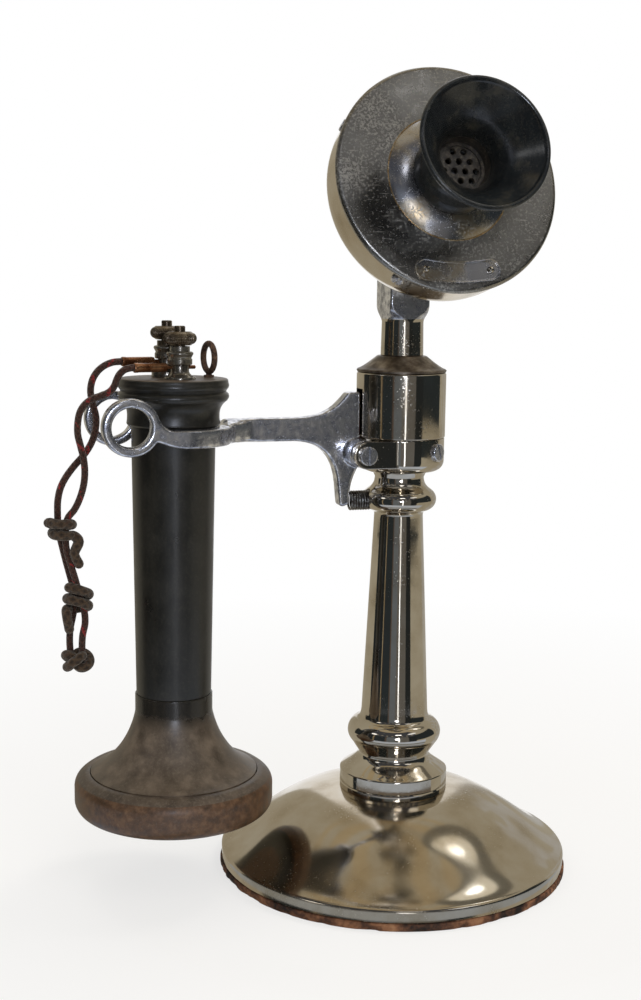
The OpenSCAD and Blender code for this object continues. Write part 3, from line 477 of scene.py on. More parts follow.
def wrapping(name, turns, at, lean, spin, tail):
    """Twine wound round both strands, with a loose end that hangs through the tail's points."""
    points = []
    for i in range(int(8 * turns) + 1):
        t = 2 * math.pi * i / 8
        r = WRAP_R + 0.25 * math.sin(2.3 * t + 1)
        drop = -WRAP_DROP * i / 8 + 0.5 * math.sin(t + 0.6)
        points.append(Vector((r * math.cos(t), r * math.sin(t), drop)))
    points.insert(0, points[0] + 1.2 * (points[0] - points[1]).normalized())
    place = Matrix.Translation(at) @ turn_by(spin, "Z") @ turn_by(lean, "Y")
    points = [place @ p for p in points] + [Vector(at) + Vector(p) for p in tail]
    return tube(name, smooth_line([p * MM for p in points], 5),
                lambda share: CORD_D / 2 * (TWINE + 0.09 * math.sin(31 * share)))


def trefoil(middle, steps=119):
    """The closed line of an overhand knot that is pulled tight, 9.8 mm across."""
    line = []
    for i in range(steps + 1):
        t = 2 * math.pi * i / steps
        reach = 3.2 + 1.7 * math.cos(3 * t)
        line.append((middle + Vector((reach * math.cos(2 * t), reach * math.sin(2 * t),
                                      2.3 * math.sin(3 * t)))) * MM)
    return line


upper_knot = wrapping("upper_knot", 1.4, (-134.3, -1, 146.5), 10, 200,
                      [(6, -3.4, -7.4), (4.4, -3.6, -11.7), (6, -3.4, -15.7)])
lower_knot = wrapping("lower_knot", 1.9, (-127.8, -1, 120.5), -10, 220,
                      [(-5, -3, -10.4), (-4.2, -2.6, -14.5)])
end_knot = tube("end_knot", trefoil(Vector((-129, -1, 93.2))), CORD_D / 2 * 1.4)
finish_piece(front_strand, cord_braid, "cord", "receiver", "cord_front")
finish_piece(back_strand, cord_braid, "cord", "receiver", "cord_back")
for piece in (upper_knot, lower_knot, end_knot):
    finish_piece(piece, knot_braid, "knot_cord", "receiver", "cord_knots")
for strand, line, leaves, knots in (
        (front_strand, front_line, FRONT_EXIT, [upper_knot, lower_knot, end_knot]),
        (back_strand, back_line, BACK_EXIT, [])):
    print(strand.name, f"is {length_of(line) / MM:.1f} mm long")

# %% [markdown]
# ## The studio
# A floor that is almost white, and a white world behind it, give the plain background. The camera
# sees both as white, and so do glossy and transmission rays, so that metal shows that background
# too. The floor is a mix, so that it still keeps the object's soft shadow.

# %% Floor and background
def seen_directly(tree):
    """1 for the rays that show a background: from the camera, off gloss, and through glass."""
    path = add(tree, "LightPath").outputs
    gloss = add(tree, "Math", path["Is Glossy Ray"], path["Is Transmission Ray"], operation="MAXIMUM")
    return add(tree, "Math", path["Is Camera Ray"], gloss, operation="MAXIMUM")


world = bpy.data.worlds.new("white studio")
bpy.context.scene.world = world
world.use_nodes = True
sky = world.node_tree
soft_sky = add(sky, "Background", "#f4f1ea", 0.55)
white_sky = add(sky, "Background", "#ffffff", 1.0)
both = add(sky, "MixShader", seen_directly(sky), soft_sky, white_sky)
feed(sky, sky.nodes["World Output"], {"Surface": both})

floor_paint = bpy.data.materials.new("white matt floor paint")
floor_paint.use_nodes = True
tree = floor_paint.node_tree
matt = tree.nodes["Principled BSDF"]
feed(tree, matt, {"Base Color": "#f2f0ec", "Roughness": 0.9})
white = add(tree, "Emission", "#ffffff", 1.0)
outward = add(tree, "VectorMath", add(tree, "TexCoord").outputs["Object"], operation="LENGTH")
fade = add(tree, "MapRange", outward.outputs["Value"], 0.12, 0.5, 0.7, 1.0)
share = add(tree, "Math", seen_directly(tree), fade, operation="MULTIPLY")
both = add(tree, "MixShader", share, matt, white)
feed(tree, tree.nodes["Material Output"], {"Surface": both})
floor = turned("floor", [(0, 0), (2600, 0), (2600, -4), (0, -4)], steps=96)
floor.data.materials.append(floor_paint)
floor.visible_glossy = False
print("a white floor and a white world")

# %% [markdown]
# Polished nickel has no look of its own: it shows the room. A photographer puts coloured cards
# round such an object, and flags of black cloth where the metal should go dark. Here each card is
# a patch of a sphere about the telephone, four-sided or oval. Its place is given by its turn from
# the camera's side and its height in degrees, and a nearer card hides what hangs behind it. Only
# gloss shows the cards, so they light no matt surface and cast no shadow. Four flat parts of rings
# on the floor, in front of the base, stand for the table top that its rim reflects.

# %% Cards for the metal to reflect
toward = Vector((-forward.x, -forward.y, 0)).normalized()
CARD_RADIUS, CARD_MIDDLE = 2200, 150


def bearing(degrees):
    """The level direction at a turn from the camera's side."""
    return math.cos(math.radians(degrees)) * toward + math.sin(math.radians(degrees)) * level_right


def on_sphere(turn, height, radius):
    """The point of a sphere at a turn and a height in degrees."""
    height = math.radians(height)
    return (math.cos(height) * bearing(turn) + math.sin(height) * VERTICAL) * radius


def reflected_only(piece, hex_colour, strength=1.0):
    """Makes a card glow, shows it in gloss alone, and marks it as stage."""
    paint = bpy.data.materials.new(piece.name)
    paint.use_nodes = True
    light = add(paint.node_tree, "Emission", hex_colour, strength)
    feed(paint.node_tree, paint.node_tree.nodes["Material Output"], {"Surface": light})
    piece.data.materials.append(paint)
    piece.visible_camera = piece.visible_diffuse = piece.visible_shadow = False


def card(name, turns, heights, hex_colour, strength=1.0, nearer=0, oval=False):
    """A curved card between two turns and two heights, in degrees, and nearer by millimetres."""
    columns, rows = 24, 12
    points, faces = [], []
    for j in range(rows + 1):
        for i in range(columns + 1):
            x, y = 2 * i / columns - 1, 2 * j / rows - 1
            if oval:
                x, y = x * math.sqrt(1 - y * y / 2), y * math.sqrt(1 - x * x / 2)
            at = [(low + high + (high - low) * share) / 2
                  for (low, high), share in ((turns, x), (heights, y))]
            points.append(on_sphere(*at, CARD_RADIUS - nearer) + CARD_MIDDLE * VERTICAL)
    for j in range(rows):
        for i in range(columns):
            k = j * (columns + 1) + i
            faces.append((k, k + 1, k + columns + 2, k + columns + 1))
    reflected_only(to_object(name, points, faces), hex_colour, strength)


def table_card(near, far, hex_colour, steps=48):
    """Part of a flat ring just above the floor, on the camera's side, between two distances."""
    points = [reach * bearing(-80 + 160 * i / steps) + 0.3 * VERTICAL
              for i in range(steps + 1) for reach in (near, far)]
    faces = [(2 * i, 2 * i + 1, 2 * i + 3, 2 * i + 2) for i in range(steps)]
    reflected_only(to_object("table card", points, faces), hex_colour)


card("beige walls", (-166, 166), (-60, 88), "#aca594")
card("grey wall", (124, 166), (-40, 24), "#b6b4af", nearer=20)
card("dim ceiling", (-98, 60), (22, 62), "#484a50", nearer=20)
card("dark left flag", (-97, -55), (-60, 24), "#272b2d", nearer=40)
card("far left flag", (-113, -97), (-7, 24), "#2b2e2e", nearer=40)
card("gold strip", (-54, -52), (-60, 24), "#9c8561", nearer=40)
card("blue-black flag", (-52, -24), (-60, 24), "#2f3539", nearer=40)
card("brown strip", (-24, -20), (-60, 24), "#5d5148", nearer=40)
card("blue-grey flag", (-20, 0), (-60, 24), "#6b7178", nearer=40)
card("grey flag", (0, 35), (-60, 24), "#6a6865", nearer=40)
card("black flag", (35, 55), (-60, 24), "#2a2d2e", nearer=40)
card("far right flag", (55, 114), (-7, 31), "#2e3335", nearer=40)
card("bright slit", (8.5, 11.5), (-30, 22), "#eef2fa", 3.0, nearer=60)
card("front window", (2, 20), (40, 45), "#f6f8ff", 3.5, nearer=60)
card("tan ceiling", (-166, 166), (52, 88), "#ae9e80", nearer=10)
card("left window", (-66, -50), (28, 37), "#f3f4f6", 2.0, nearer=60, oval=True)
card("right window", (40, 68), (38, 47), "#f3f4f6", 1.4, nearer=60, oval=True)
card("flash", (2, 11), (3, 12), "#e4ecff", 26.0, nearer=80, oval=True)
card("dark frame", (96, 144), (42, 73), "#6e6a60", nearer=60, oval=True)
card("cream curtain", (102, 128), (48, 69), "#ece5d3", nearer=80, oval=True)
card("window", (106, 116), (54, 62), "#ffffff", 3.0, nearer=100, oval=True)
table_card(76, 104, "#a3a9b0")
table_card(104, 123, "#6d6357")
table_card(123, 146, "#b4bcc8")
table_card(146, 285, "#c0c9d8")
print("a room of cards")

# %% [markdown]
# Soft lamps come last. Two hang behind the telephone, one at each side, and a large one in front
# fills the shadows. Gloss doesn't show them, because the cards are its room. A lamp's power is
# worked out from its share of the light: a pale surface that faces all of them renders about as
# written.

# %% Soft lamps
def lamp(name, turn, height, distance, size, share):
    """A soft square lamp at a turn and a height in degrees, aimed at the telephone."""
    aim = Vector((-0.03, 0, 0.15))
    at = aim + on_sphere(turn, height, distance)
    data = bpy.data.lights.new(name, "AREA")
    data.shape, data.size = "SQUARE", size
    data.energy = share * math.pi * math.pi * distance ** 2
    data.color = linear("#fffaf2")[:3]
    piece = to_scene(name, data)
    piece.matrix_world = Matrix.Translation(at) @ (aim - at).to_track_quat("-Z", "Y").to_matrix().to_4x4()
    piece.visible_glossy = piece.visible_camera = False


lamp("right back lamp", 113, 60, 1.3, 0.4, 0.30)
lamp("left back lamp", -128, 66, 1.3, 0.5, 0.10)
lamp("front fill", 20, 38, 1.5, 0.9, 0.30)
print("three lamps")

# %% [markdown]
# ## Nickel plate
# The brass parts are nickel-plated and buffed. Nickel is a warm white metal that reflects about
# 60 percent. A hundred years of air leave faint brown clouds and hazy patches on it. Pinholes in the
# plating, 0.2 to 0.5 mm wide, scatter the light and look pale: they are drawn up to 0.9 mm wide so
# that they show. On a rough casting the plating is dull and scatters a part of the light as paint
# does, so it is a little less than fully metallic. Where hands rub it most, the brass shines
# through and warms its colour. One function makes each state of the plating.

# %% Nickel in its states
def nickel_plate(name, tones, cloud_mm, polish, pits, wave_mm, wave_height, scratches=0.0, metallic=1.0):
    """Nickel plate. tones are its colour from tarnished to clean, polish the roughness of clear and
    hazy patches, pits their share, and the waves are the unevenness that buffing leaves."""
    material, tree, shader, place = blank(name, Metallic=metallic)
    clouds = add(tree, "TexNoise", Vector=place, Scale=marks(cloud_mm), Detail=6.0, Roughness=0.55)
    tone = add(tree, "ValToRGB", clouds, stops=tones)
    haze = add(tree, "MapRange", clouds, 0.38, 0.62, polish[1], polish[0])
    grain = add(tree, "TexNoise", Vector=place, Scale=marks(0.9), Detail=4.0, Roughness=0.75)
    grit = add(tree, "Math", clouds, -0.5, grain, operation="MULTIPLY_ADD")
    pit_from = 0.43 - 0.13 * pits
    pit = add(tree, "MapRange", grit, pit_from, pit_from + 0.1)
    colour = add(tree, "MixRGB", pit, tone, "#d0ccc3")
    rough = add(tree, "MixRGB", pit, haze, "#c4c4c4")
    if scratches:
        stretched = add(tree, "Mapping", place, Rotation=(0.3, 0.6, 1.4), Scale=(1, 40, 1))
        lines = add(tree, "TexNoise", Vector=stretched, Scale=marks(10), Detail=3.0)
        thin = add(tree, "MapRange", lines, 0.66, 0.69, 0.0, scratches)
        colour = add(tree, "MixRGB", thin, colour, "#e2ddd2")
        rough = add(tree, "MixRGB", thin, rough, "#b0b0b0")
    swell = add(tree, "TexNoise", Vector=place, Scale=marks(wave_mm), Detail=2.0)
    waves = add(tree, "Bump", Height=swell, Strength=1.0, Distance=wave_height * MM)
    dents = add(tree, "Bump", invert=True, Height=pit, Strength=0.4, Distance=0.04 * MM, Normal=waves)
    feed(tree, shader, {"Base Color": colour, "Roughness": rough, "Normal": dents})
    return material


bright_nickel = nickel_plate("buffed nickel plate", ((0.3, "#b9ae9c"), (0.5, "#cdc5b7"), (0.7, "#d8d2c7")),
                             16, (0.04, 0.12), 0.15, 7, 0.02)
hazy_nickel = nickel_plate("hazy nickel plate", ((0.32, "#b2a48c"), (0.5, "#c9beac"), (0.68, "#d3ccc0")),
                           22, (0.10, 0.19), 0.15, 9, 0.015)
dull_nickel = nickel_plate("pitted nickel plate", ((0.3, "#827f7a"), (0.5, "#999690"), (0.68, "#aeaaa3")),
                           20, (0.22, 0.42), 1.15, 5, 0.02, scratches=0.6)
cast_nickel = nickel_plate("nickel plate on a casting",
                           ((0.34, "#9597a0"), (0.5, "#ccced6"), (0.62, "#eaebf0")),
                           3, (0.13, 0.28), 0.3, 2.2, 0.05, metallic=0.92)
rubbed_nickel = nickel_plate("nickel rubbed to the brass",
                             ((0.36, "#b39f7f"), (0.46, "#bfb5a4"), (0.56, "#c6c6ca")),
                             17, (0.2, 0.32), 0.9, 6, 0.03)
print("nickel plate in five states")

# %% [markdown]
# ## Base
# The base is a dome spun from brass sheet, with an upright band round its rim. Spinning leaves a
# true surface of revolution, so it is turned here too, from the CAD's own outline with four times
# the points. A disc of leather under it keeps the iron weight off the desk.

# %% Spun base
BORE, BASE_R, PAD_T, BAND_TOP, DOME_TOP, FOOT_R, SHEET = 5.1, 70, 3, 7.3, 31.7, 21.8, 1.6
DOME_W, DOME_H = BASE_R - FOOT_R, DOME_TOP - BAND_TOP


def dome_line(t):
    """Outline of the dome, outside for t = 0 and inside for the sheet's thickness."""
    return curve((FOOT_R, DOME_TOP - t), (FOOT_R + 0.48 * DOME_W - 0.2 * t, DOME_TOP - 0.09 * DOME_H - t),
                 (FOOT_R + 0.75 * DOME_W - 0.7 * t, DOME_TOP - 0.775 * DOME_H - t),
                 (BASE_R - 1.14 - 0.4 * t, BAND_TOP + 1.1 - 0.9 * t), 72)


base = turned("spun_base", [(BORE, DOME_TOP)] + dome_line(0)[:-1]
              + arc(BASE_R - 2, BAND_TOP - 0.93, 2.2, 67, 25, 14)
              + arc(BASE_R - 0.3, BAND_TOP - 0.3, 0.3, 25, 0, 4)
              + arc(BASE_R - 0.5, PAD_T + 0.5, 0.5, 0, -80, 5) + [(BASE_R - SHEET, PAD_T)]
              + dome_line(SHEET)[::-1] + [(BORE, DOME_TOP - SHEET)], steps=240)
above, bushing_at, below = dome_line(0)[44:47]
slope = math.atan2(above[1] - below[1], below[0] - above[0])
hole = rod("hole", 5.05, -6, 6, Matrix.Translation((0, *bushing_at)) @ Matrix.Rotation(-slope, 4, "X"))
finish_piece(cut(base, hole), hazy_nickel, "nickel", "stand", "base_shell")

# %% [markdown]
# Leather that has carried two kilos for a century is dry, black with old polish in some places and
# scuffed to raw orange-brown in others. Its edge is no true circle any more: each point near the
# edge of the turned disc moves in by a noise of up to 0.8 mm.

# %% Leather pad
def leather(name):
    """Vegetable-tanned leather, worn raw in patches and black with old polish in others."""
    material, tree, shader, place = blank(name, Roughness=0.8)
    patches = add(tree, "TexNoise", Vector=place, Scale=marks(9), Detail=8.0, Roughness=0.65)
    colour = add(tree, "ValToRGB", patches,
                 stops=((0.36, "#211a17"), (0.46, "#5a3a28"), (0.56, "#8a5f43"), (0.7, "#a87e5c")))
    grain = add(tree, "TexVoronoi", Vector=place, Scale=marks(1.2))
    bump = add(tree, "Bump", Height=grain, Strength=0.6, Distance=0.15 * MM)
    feed(tree, shader, {"Base Color": colour, "Normal": bump})
    return material


PAD_CORE, PAD_R, PAD_WEAR = 64, BASE_R + 0.6, 0.8
pad = turned("leather_pad", [(0, 0), (PAD_CORE, 0)] + arc(PAD_R - 0.6, 0.7, 0.6, -90, 0, 4)
             + [(PAD_R, PAD_T / 2)] + arc(PAD_R - 0.6, PAD_T - 0.7, 0.6, 0, 90, 4)
             + [(PAD_CORE, PAD_T), (0, PAD_T)], steps=240)
for point in pad.data.vertices:
    out = Vector((point.co.x, point.co.y, 0)).length
    if out > (PAD_R - 1.6) * MM:
        wear = max(0.0, noise.fractal(point.co * 140, 0.6, 2.0, 3)) * 0.9 * MM
        point.co.xy *= (out - min(wear, PAD_WEAR * MM)) / out
finish_piece(pad, leather("vegetable-tanned leather"), "leather", "stand", "base_pad")

# %% [markdown]
# ## Foot and pillar
# The foot and the pillar are turned brass castings, with a ball between coves at each end. A pocket
# is bored in the left side of the upper ball for the return spring of the lever.

# %% Turned foot and pillar
FOOT_H, FOOT_NECK, BRACKET_Z, SHANK_STEPS = 14.4, 14.5, 162, 12
FOOT_TOP = DOME_TOP + FOOT_H
LOW_Z, TOP_Z = FOOT_TOP + 9.1, BRACKET_Z - 11.4
SPRING_Z = TOP_Z - 0.3
foot = turned("turned_foot", raised(DOME_TOP, [(BORE, 0), (21.5, 0), (FOOT_R, 0.3), (FOOT_R, 2.1),
                                               (FOOT_R - 0.35, 2.5), (FOOT_R, 2.9)]
                                    + arc(FOOT_R - 0.8, 7.6, 0.8, 0, 60)
                                    + curve((FOOT_R - 1.2, 8.9), (FOOT_NECK + 3.2, FOOT_H - 3.4),
                                            (FOOT_NECK + 0.4, FOOT_H - 2), (FOOT_NECK, FOOT_H))
                                    + [(BORE, FOOT_H)]), steps=200)
finish_piece(foot, bright_nickel, "nickel", "stand", "foot_flange")

lower_ball = raised(LOW_Z, arc(13.2, 0, 5.7, -35, 72, 28)
                    + curve((14.6, 5.7), (13.8, 6.3), (13.5, 7.6), (13.4, 10), 14))
shank = [(13.4 - 3.6 * t / SHANK_STEPS, LOW_Z + 10 + (TOP_Z - 17 - LOW_Z) * t / SHANK_STEPS)
         for t in range(1, SHANK_STEPS + 1)]
upper_ball = raised(TOP_Z, curve((9.8, -6), (10.2, -4.6), (11.2, -4.4), (12.5, -4), 12)
                    + arc(10.4, 0, 4.5, -58, 58, 24)
                    + curve((12.5, 4.1), (10.4, 5.4), (9.8, 7), (9.8, 9), 12))
pillar = turned("turned_pillar", [(BORE, FOOT_TOP), (FOOT_NECK, FOOT_TOP), (FOOT_NECK + 0.1, FOOT_TOP + 1.2)]
                + lower_ball + shank + upper_ball + [(11, BRACKET_Z), (BORE, BRACKET_Z)], steps=192)
pocket = rod("pocket", 4.375, 11.5, 27, Matrix.Translation((0, 0, SPRING_Z)) @ turn_by(-90, "Y"))
finish_piece(cut(pillar, pocket), bright_nickel, "nickel", "stand", "pillar")

# %% [markdown]
# ## Bracket
# The bracket carries the lever. Its round band is turned, and its two arms were filed and buffed by
# hand, so their edges are soft. The arms are a rounded copy of the CAD solid, and the band is a new
# lathe piece with the same slot, so that its mirror finish has no flats.

# %% Lever bracket
BRACKET_TOP, SCREW_Z, CUP_R, ARM_IN = 175.3, 170.2, 17.7, 12.2
band = turned("bracket_band", [(BORE, BRACKET_Z)] + arc(CUP_R - 4.5, BRACKET_Z + 4.3, 4.3, -90, 0)
              + arc(CUP_R - 0.8, BRACKET_TOP - 0.6, 0.6, 0, 90, 8) + [(BORE, BRACKET_TOP)], steps=192)
lever_slot = block((-48, -ARM_IN, BRACKET_Z - 1), (-13.2, ARM_IN, BRACKET_TOP + 1))
seats = [rod("seat", 3.65, 0, 4, turn_by(side * 55, "Z") @ Matrix.Translation((CUP_R - 0.6, 0, SCREW_Z))
             @ turn_by(90, "Y")) for side in (-1, 1)]
arms = worn_copy("lever_bracket", "arms", 0.3, 5)
bracket = joined("lever_bracket_worn", cut(band, lever_slot, *seats), arms)
finish_piece(bracket, bright_nickel, "nickel", "stand", "lever_bracket")

# %% [markdown]
# ## Hook lever
# The lever is one brass casting: a plate, a fork for the receiver and a finger ring at the end of
# each tine. Hands have rubbed it for decades, so its edges are round and its flats have a mottled
# shine. Rebuilding the CAD solid from 0.33 mm cubes and smoothing it rounds all of its edges alike,
# and the saddle where the fork grows out of the plate is smoothed once more.

# %% Cast lever
SADDLE_AT, SADDLE_R = Vector((-70.5, 0, 178.5)), 13
lever = worn_copy("hook_lever", "cast_lever", 0.33, 30)
saddle = lever.vertex_groups.new(name="saddle")
for point in lever.data.vertices:
    near = 1 - (point.co - SADDLE_AT * MM).length / (SADDLE_R * MM)
    if near > 0:
        saddle.add([point.index], min(1.0, 2 * near), "REPLACE")
shaped(lever, "SMOOTH", factor=0.6, iterations=60, vertex_group="saddle")
shaped(lever, "DISPLACE", strength=0.2 * MM, mid_level=0.0)
finish_piece(lever, cast_nickel, "lever_nickel", "hook_lever", "hook_lever")

# %% [markdown]
# The return spring is steel wire of 0.75 mm, coiled over a mandrel, and drawn 0.13 mm thicker so
# that its turns show. It sits in the pillar's pocket and pushes on the lever's tail, so it is
# shorter when the lever is down. Here it is drawn at one length and rides on no body.

# %% Spring steel and the return spring
def stained_steel(name, clean, stained, rough):
    """Plain iron or steel with a little brown staining."""
    material, tree, shader, place = blank(name, Metallic=1.0)
    stains = add(tree, "TexNoise", Vector=place, Scale=marks(2.5), Detail=5.0)
    colour = add(tree, "ValToRGB", stains, stops=((0.38, stained), (0.6, clean)))
    gloss = add(tree, "MapRange", stains, To_Min=rough + 0.2, To_Max=rough - 0.1)
    feed(tree, shader, {"Base Color": colour, "Roughness": gloss})
    return material


spring_steel = stained_steel("blued spring steel", "#a3a2a0", "#5a5048", 0.3)
SPRING_FROM, SPRING_TO, COILS, SPRING_R, WIRE_R, COIL_STEPS = -21.325, -12.175, 8.5, 3.5, 0.44, 32
spring_line = []
for i in range(int(COILS * COIL_STEPS) + 1):
    t = 2 * math.pi * i / COIL_STEPS
    spring_line.append(Vector((SPRING_FROM + (SPRING_TO - SPRING_FROM) * i / (COILS * COIL_STEPS),
                               SPRING_R * math.cos(t), SPRING_Z + SPRING_R * math.sin(t))) * MM)
spring = tube("return_spring", spring_line, WIRE_R * MM, 12)
finish_piece(spring, spring_steel, "steel", None, "hook_spring")
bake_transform(spring)

# %% [markdown]
# ## Switch cup and cap
# The cup hides the contacts. It is drawn brass tube with both edges broken, and a slot at the left
# lets the lever's horn in. Its cap is a brown cone: the nickel is gone from it, and what is left is
# oxidised brass, dark brown with a dull shine where fingers reach it.

# %% Cup and cap
CUP_TOP, CUP_BORE, HORN_HALF = 201, CUP_R - 1.6, 3.5
cup = turned("switch_cup_drawn", [(CUP_BORE, BRACKET_TOP)]
             + arc(CUP_R - 0.7, BRACKET_TOP + 0.7, 0.7, -90, 0, 8)
             + arc(CUP_R - 1, CUP_TOP - 1, 1, 0, 90, 10) + [(CUP_BORE, CUP_TOP)], steps=192)
horn_slot = block((-30, -HORN_HALF, BRACKET_TOP - 1), (-5, HORN_HALF, BRACKET_TOP + 19.2))
finish_piece(cut(cup, horn_slot), bright_nickel, "nickel", "stand", "switch_cup")


def oxidised_brass(name, stops, mark_mm, rough, crust=0.04):
    """Brass or copper that has gone brown, patchy, and a little brighter where it is handled."""
    material, tree, shader, place = blank(name, Metallic=0.85)
    patches = add(tree, "TexNoise", Vector=place, Scale=marks(mark_mm), Detail=7.0, Roughness=0.6)
    colour = add(tree, "ValToRGB", patches, stops=stops)
    gloss = add(tree, "MapRange", patches, To_Min=rough[1], To_Max=rough[0])
    bump = add(tree, "Bump", Height=patches, Strength=0.5, Distance=crust * MM)
    feed(tree, shader, {"Base Color": colour, "Roughness": gloss, "Normal": bump})
    return material


brown_brass = oxidised_brass("oxidised brass", ((0.35, "#4d443b"), (0.5, "#6e6358"), (0.66, "#968c80")),
                             5, (0.25, 0.5))
cap = turned("cone_cap", raised(CUP_TOP, [(6, -2.5), (16, -2.5), (16, 0), (17.5, 0)]
                                + arc(17.3, 0.6, 0.4, -60, 60, 6) + [(17, 1.25)]
                                + curve((16.6, 1.4), (15.4, 1.9), (13.4, 3.3), (11.3, 5), 12)
                                + [(9.9, 6.1), (9.5, 6.3), (6, 6.3)]))
finish_piece(cap, brown_brass, "brown_cone", "stand", "cup_cap")

# %% [markdown]
# ## Stem
# The stem's neck is turned and its head milled square, with a slot that the transmitter's lug tilts
# in. The head is a rounded copy of the CAD solid and has the duller plate of a casting, and a
# turned sleeve gives the neck its mirror.

# %% Stem and lug
COLLAR_Z, HEAD_Z, TILT_Z = 207.3, 220.5, 246
neck = turned("neck", [(6, COLLAR_Z), (8.1, COLLAR_Z), (8.4, COLLAR_Z + 0.3), (8.4, COLLAR_Z + 1),
                       (8.2, HEAD_Z), (6, HEAD_Z)])
stem = joined("milled_stem", neck, worn_copy("stem", "head", 0.25, 4))
finish_piece(stem, bright_nickel, "nickel", "stand", "stem")
second_finish(stem, cast_nickel, Matrix(), lambda radius, height: height > HEAD_Z + 1.2)
lug = worn_copy("tilt_lug", "filed_lug", 0.3, 5)
finish_piece(lug, bright_nickel, "nickel", "transmitter", "tilt_lug")

# %% [markdown]
# ## Transmitter
# The transmitter is drawn about its own axis and then put in its place: up to the tilting screw,
# turned to face forward and 17.4 degrees up, and moved out from the lug. Its case is a deep cup
# pressed from sheet brass, and its face a spun disc with a shallow raised centre. The centre is
# rubbed, and a thin line at its foot is worn to the bare brass.

# %% Case and face
UPWARD, LUG_REACH, CASE_R, CASE_BORE, BEND, BACK = 17.4, (0, 12.9, 47.65), 41.3, 39.7, -11, -28
TRANSMITTER = (Matrix.Translation((0, 0, TILT_Z)) @ turn_by(90 - UPWARD, "X")
               @ Matrix.Translation(LUG_REACH))
case = turned("pressed_case", [(CASE_R, BEND * t / 4) for t in range(4)]
              + curve((CASE_R, BEND), (CASE_R, -21), (33.3, BACK), (25.3, BACK), 40)
              + [(0, BACK), (0, BACK + SHEET)]
              + curve((25.3, BACK + SHEET), (32.7, BACK + SHEET), (CASE_BORE, -20), (CASE_BORE, BEND), 20)
              + [(CASE_BORE, 0)], TRANSMITTER, 224)
finish_piece(case, hazy_nickel, "nickel", "transmitter", "transmitter_case")

FACE_R, FACE_TOP, RISE_R, RISE_TOP, LINE_R = 42.5, 1.6, 23.3, 4.9, 0.24
face = turned("spun_face", [(41.4, -1.6), (42, -1.6)] + arc(FACE_R - 1.6, 0, 1.6, -45, 90, 14)
              + [(36, FACE_TOP), (30, FACE_TOP), (RISE_R + 0.1, FACE_TOP)]
              + curve((RISE_R - 0.2, FACE_TOP + 0.05), (21.4, FACE_TOP + 1.3), (18.4, RISE_TOP - 0.6),
                      (14.4, RISE_TOP - 0.1), 40)
              + [(12.6, RISE_TOP), (9.2, RISE_TOP), (9.2, RISE_TOP - 1.6)]
              + curve((13, RISE_TOP - 1.6), (16.6, 3), (19.8, 1.6), (21.7, 0), 12)
              + [(35.6, 0), (35.6, -8), (37.6, -8), (39.6, -8), (39.6, 0), (41.4, 0)], TRANSMITTER, 224)
finish_piece(face, dull_nickel, "worn_nickel", "transmitter", "transmitter_face")
second_finish(face, rubbed_nickel, TRANSMITTER,
              lambda radius, height: radius < RISE_R - 0.1 and height > FACE_TOP + 0.05)
edge_brass = oxidised_brass("brass under worn nickel",
                            ((0.35, "#9a7a4c"), (0.5, "#c2a271"), (0.66, "#d8c7a4")), 3, (0.15, 0.3))
worn_edge = turned("worn_edge", raised(FACE_TOP, arc(RISE_R, 0, LINE_R, 180, 0, 10)
                                       + [(RISE_R + LINE_R, -0.4), (RISE_R - LINE_R, -0.4)]), TRANSMITTER)
finish_piece(worn_edge, edge_brass, "brass", "transmitter")

# %% [markdown]
# The small plate under the mouthpiece is stamped sheet, with a raised border and a rivet at each
# end. It carries no words. A copy rebuilt from 0.13 mm cubes has the soft edges of a stamping.

# %% Blank plate
plate = worn_copy("name_plate", "blank_plate", 0.13, 4)
finish_piece(plate, rubbed_nickel, "worn_nickel", "transmitter", "name_plate")

# %% [markdown]
# ## Mouthpiece
# The mouthpiece is moulded from hard rubber, which is black, takes a polish and fades to brown where
# it is rubbed. Its outline is a thick neck, a flare, a round lip and a bowl, which are curves and
# arcs. The grid at the bottom of the bowl is a separate disc: its twelve holes are real ones, cut
# with one tool that holds all of them. Grid and bottom are dull, with dust that no cloth reaches.

# %% Hard rubber
def hard_rubber(name, stops, rough, mark_mm, dusty, grain=0.04, handled=None):
    """Hard rubber, also called ebonite: black when new, browner and duller as it ages.
    dusty is the share of pale dust on it. Hands kept it dark above the two heights of handled."""
    material, tree, shader, place = blank(name, IOR=1.6)
    patches = add(tree, "TexNoise", Vector=place, Scale=marks(mark_mm), Detail=7.0, Roughness=0.6)
    colour = add(tree, "ValToRGB", patches, stops=stops)
    specks = add(tree, "TexNoise", Vector=place, Scale=marks(1.1), Detail=4.0, Roughness=0.75)
    lying = add(tree, "MapRange", specks, 0.5, 0.72, To_Max=dusty)
    colour = add(tree, "MixRGB", lying, colour, "#8b8172")
    gloss = add(tree, "MapRange", patches, 0.3, 0.7, *rough)
    bump = add(tree, "Bump", Height=specks, Strength=0.5, Distance=grain * MM)
    if handled:
        sway = 14 * MM
        height = add(tree, "SeparateXYZ", place).outputs["Z"]
        uneven = add(tree, "Math", patches, sway, height, operation="MULTIPLY_ADD")
        low, high = (edge * MM + sway / 2 for edge in handled)
        hand = add(tree, "MapRange", uneven, low, high, To_Max=0.95)
        colour = add(tree, "MixRGB", hand, colour, "#1c1b18")
        gloss = add(tree, "MixRGB", hand, gloss, "#838383")
    feed(tree, shader, {"Base Color": colour, "Roughness": gloss, "Normal": bump})
    return material


polished_rubber = hard_rubber("polished hard rubber",
                              ((0.3, "#13161a"), (0.55, "#1e2225"), (0.72, "#393833")),
                              (0.14, 0.26), 9, 0.08)
worn_rubber = hard_rubber("rubbed hard rubber", ((0.35, "#1f1d1b"), (0.5, "#2c2926"), (0.68, "#464038")),
                          (0.3, 0.5), 3, 0.45)
print("two kinds of hard rubber")

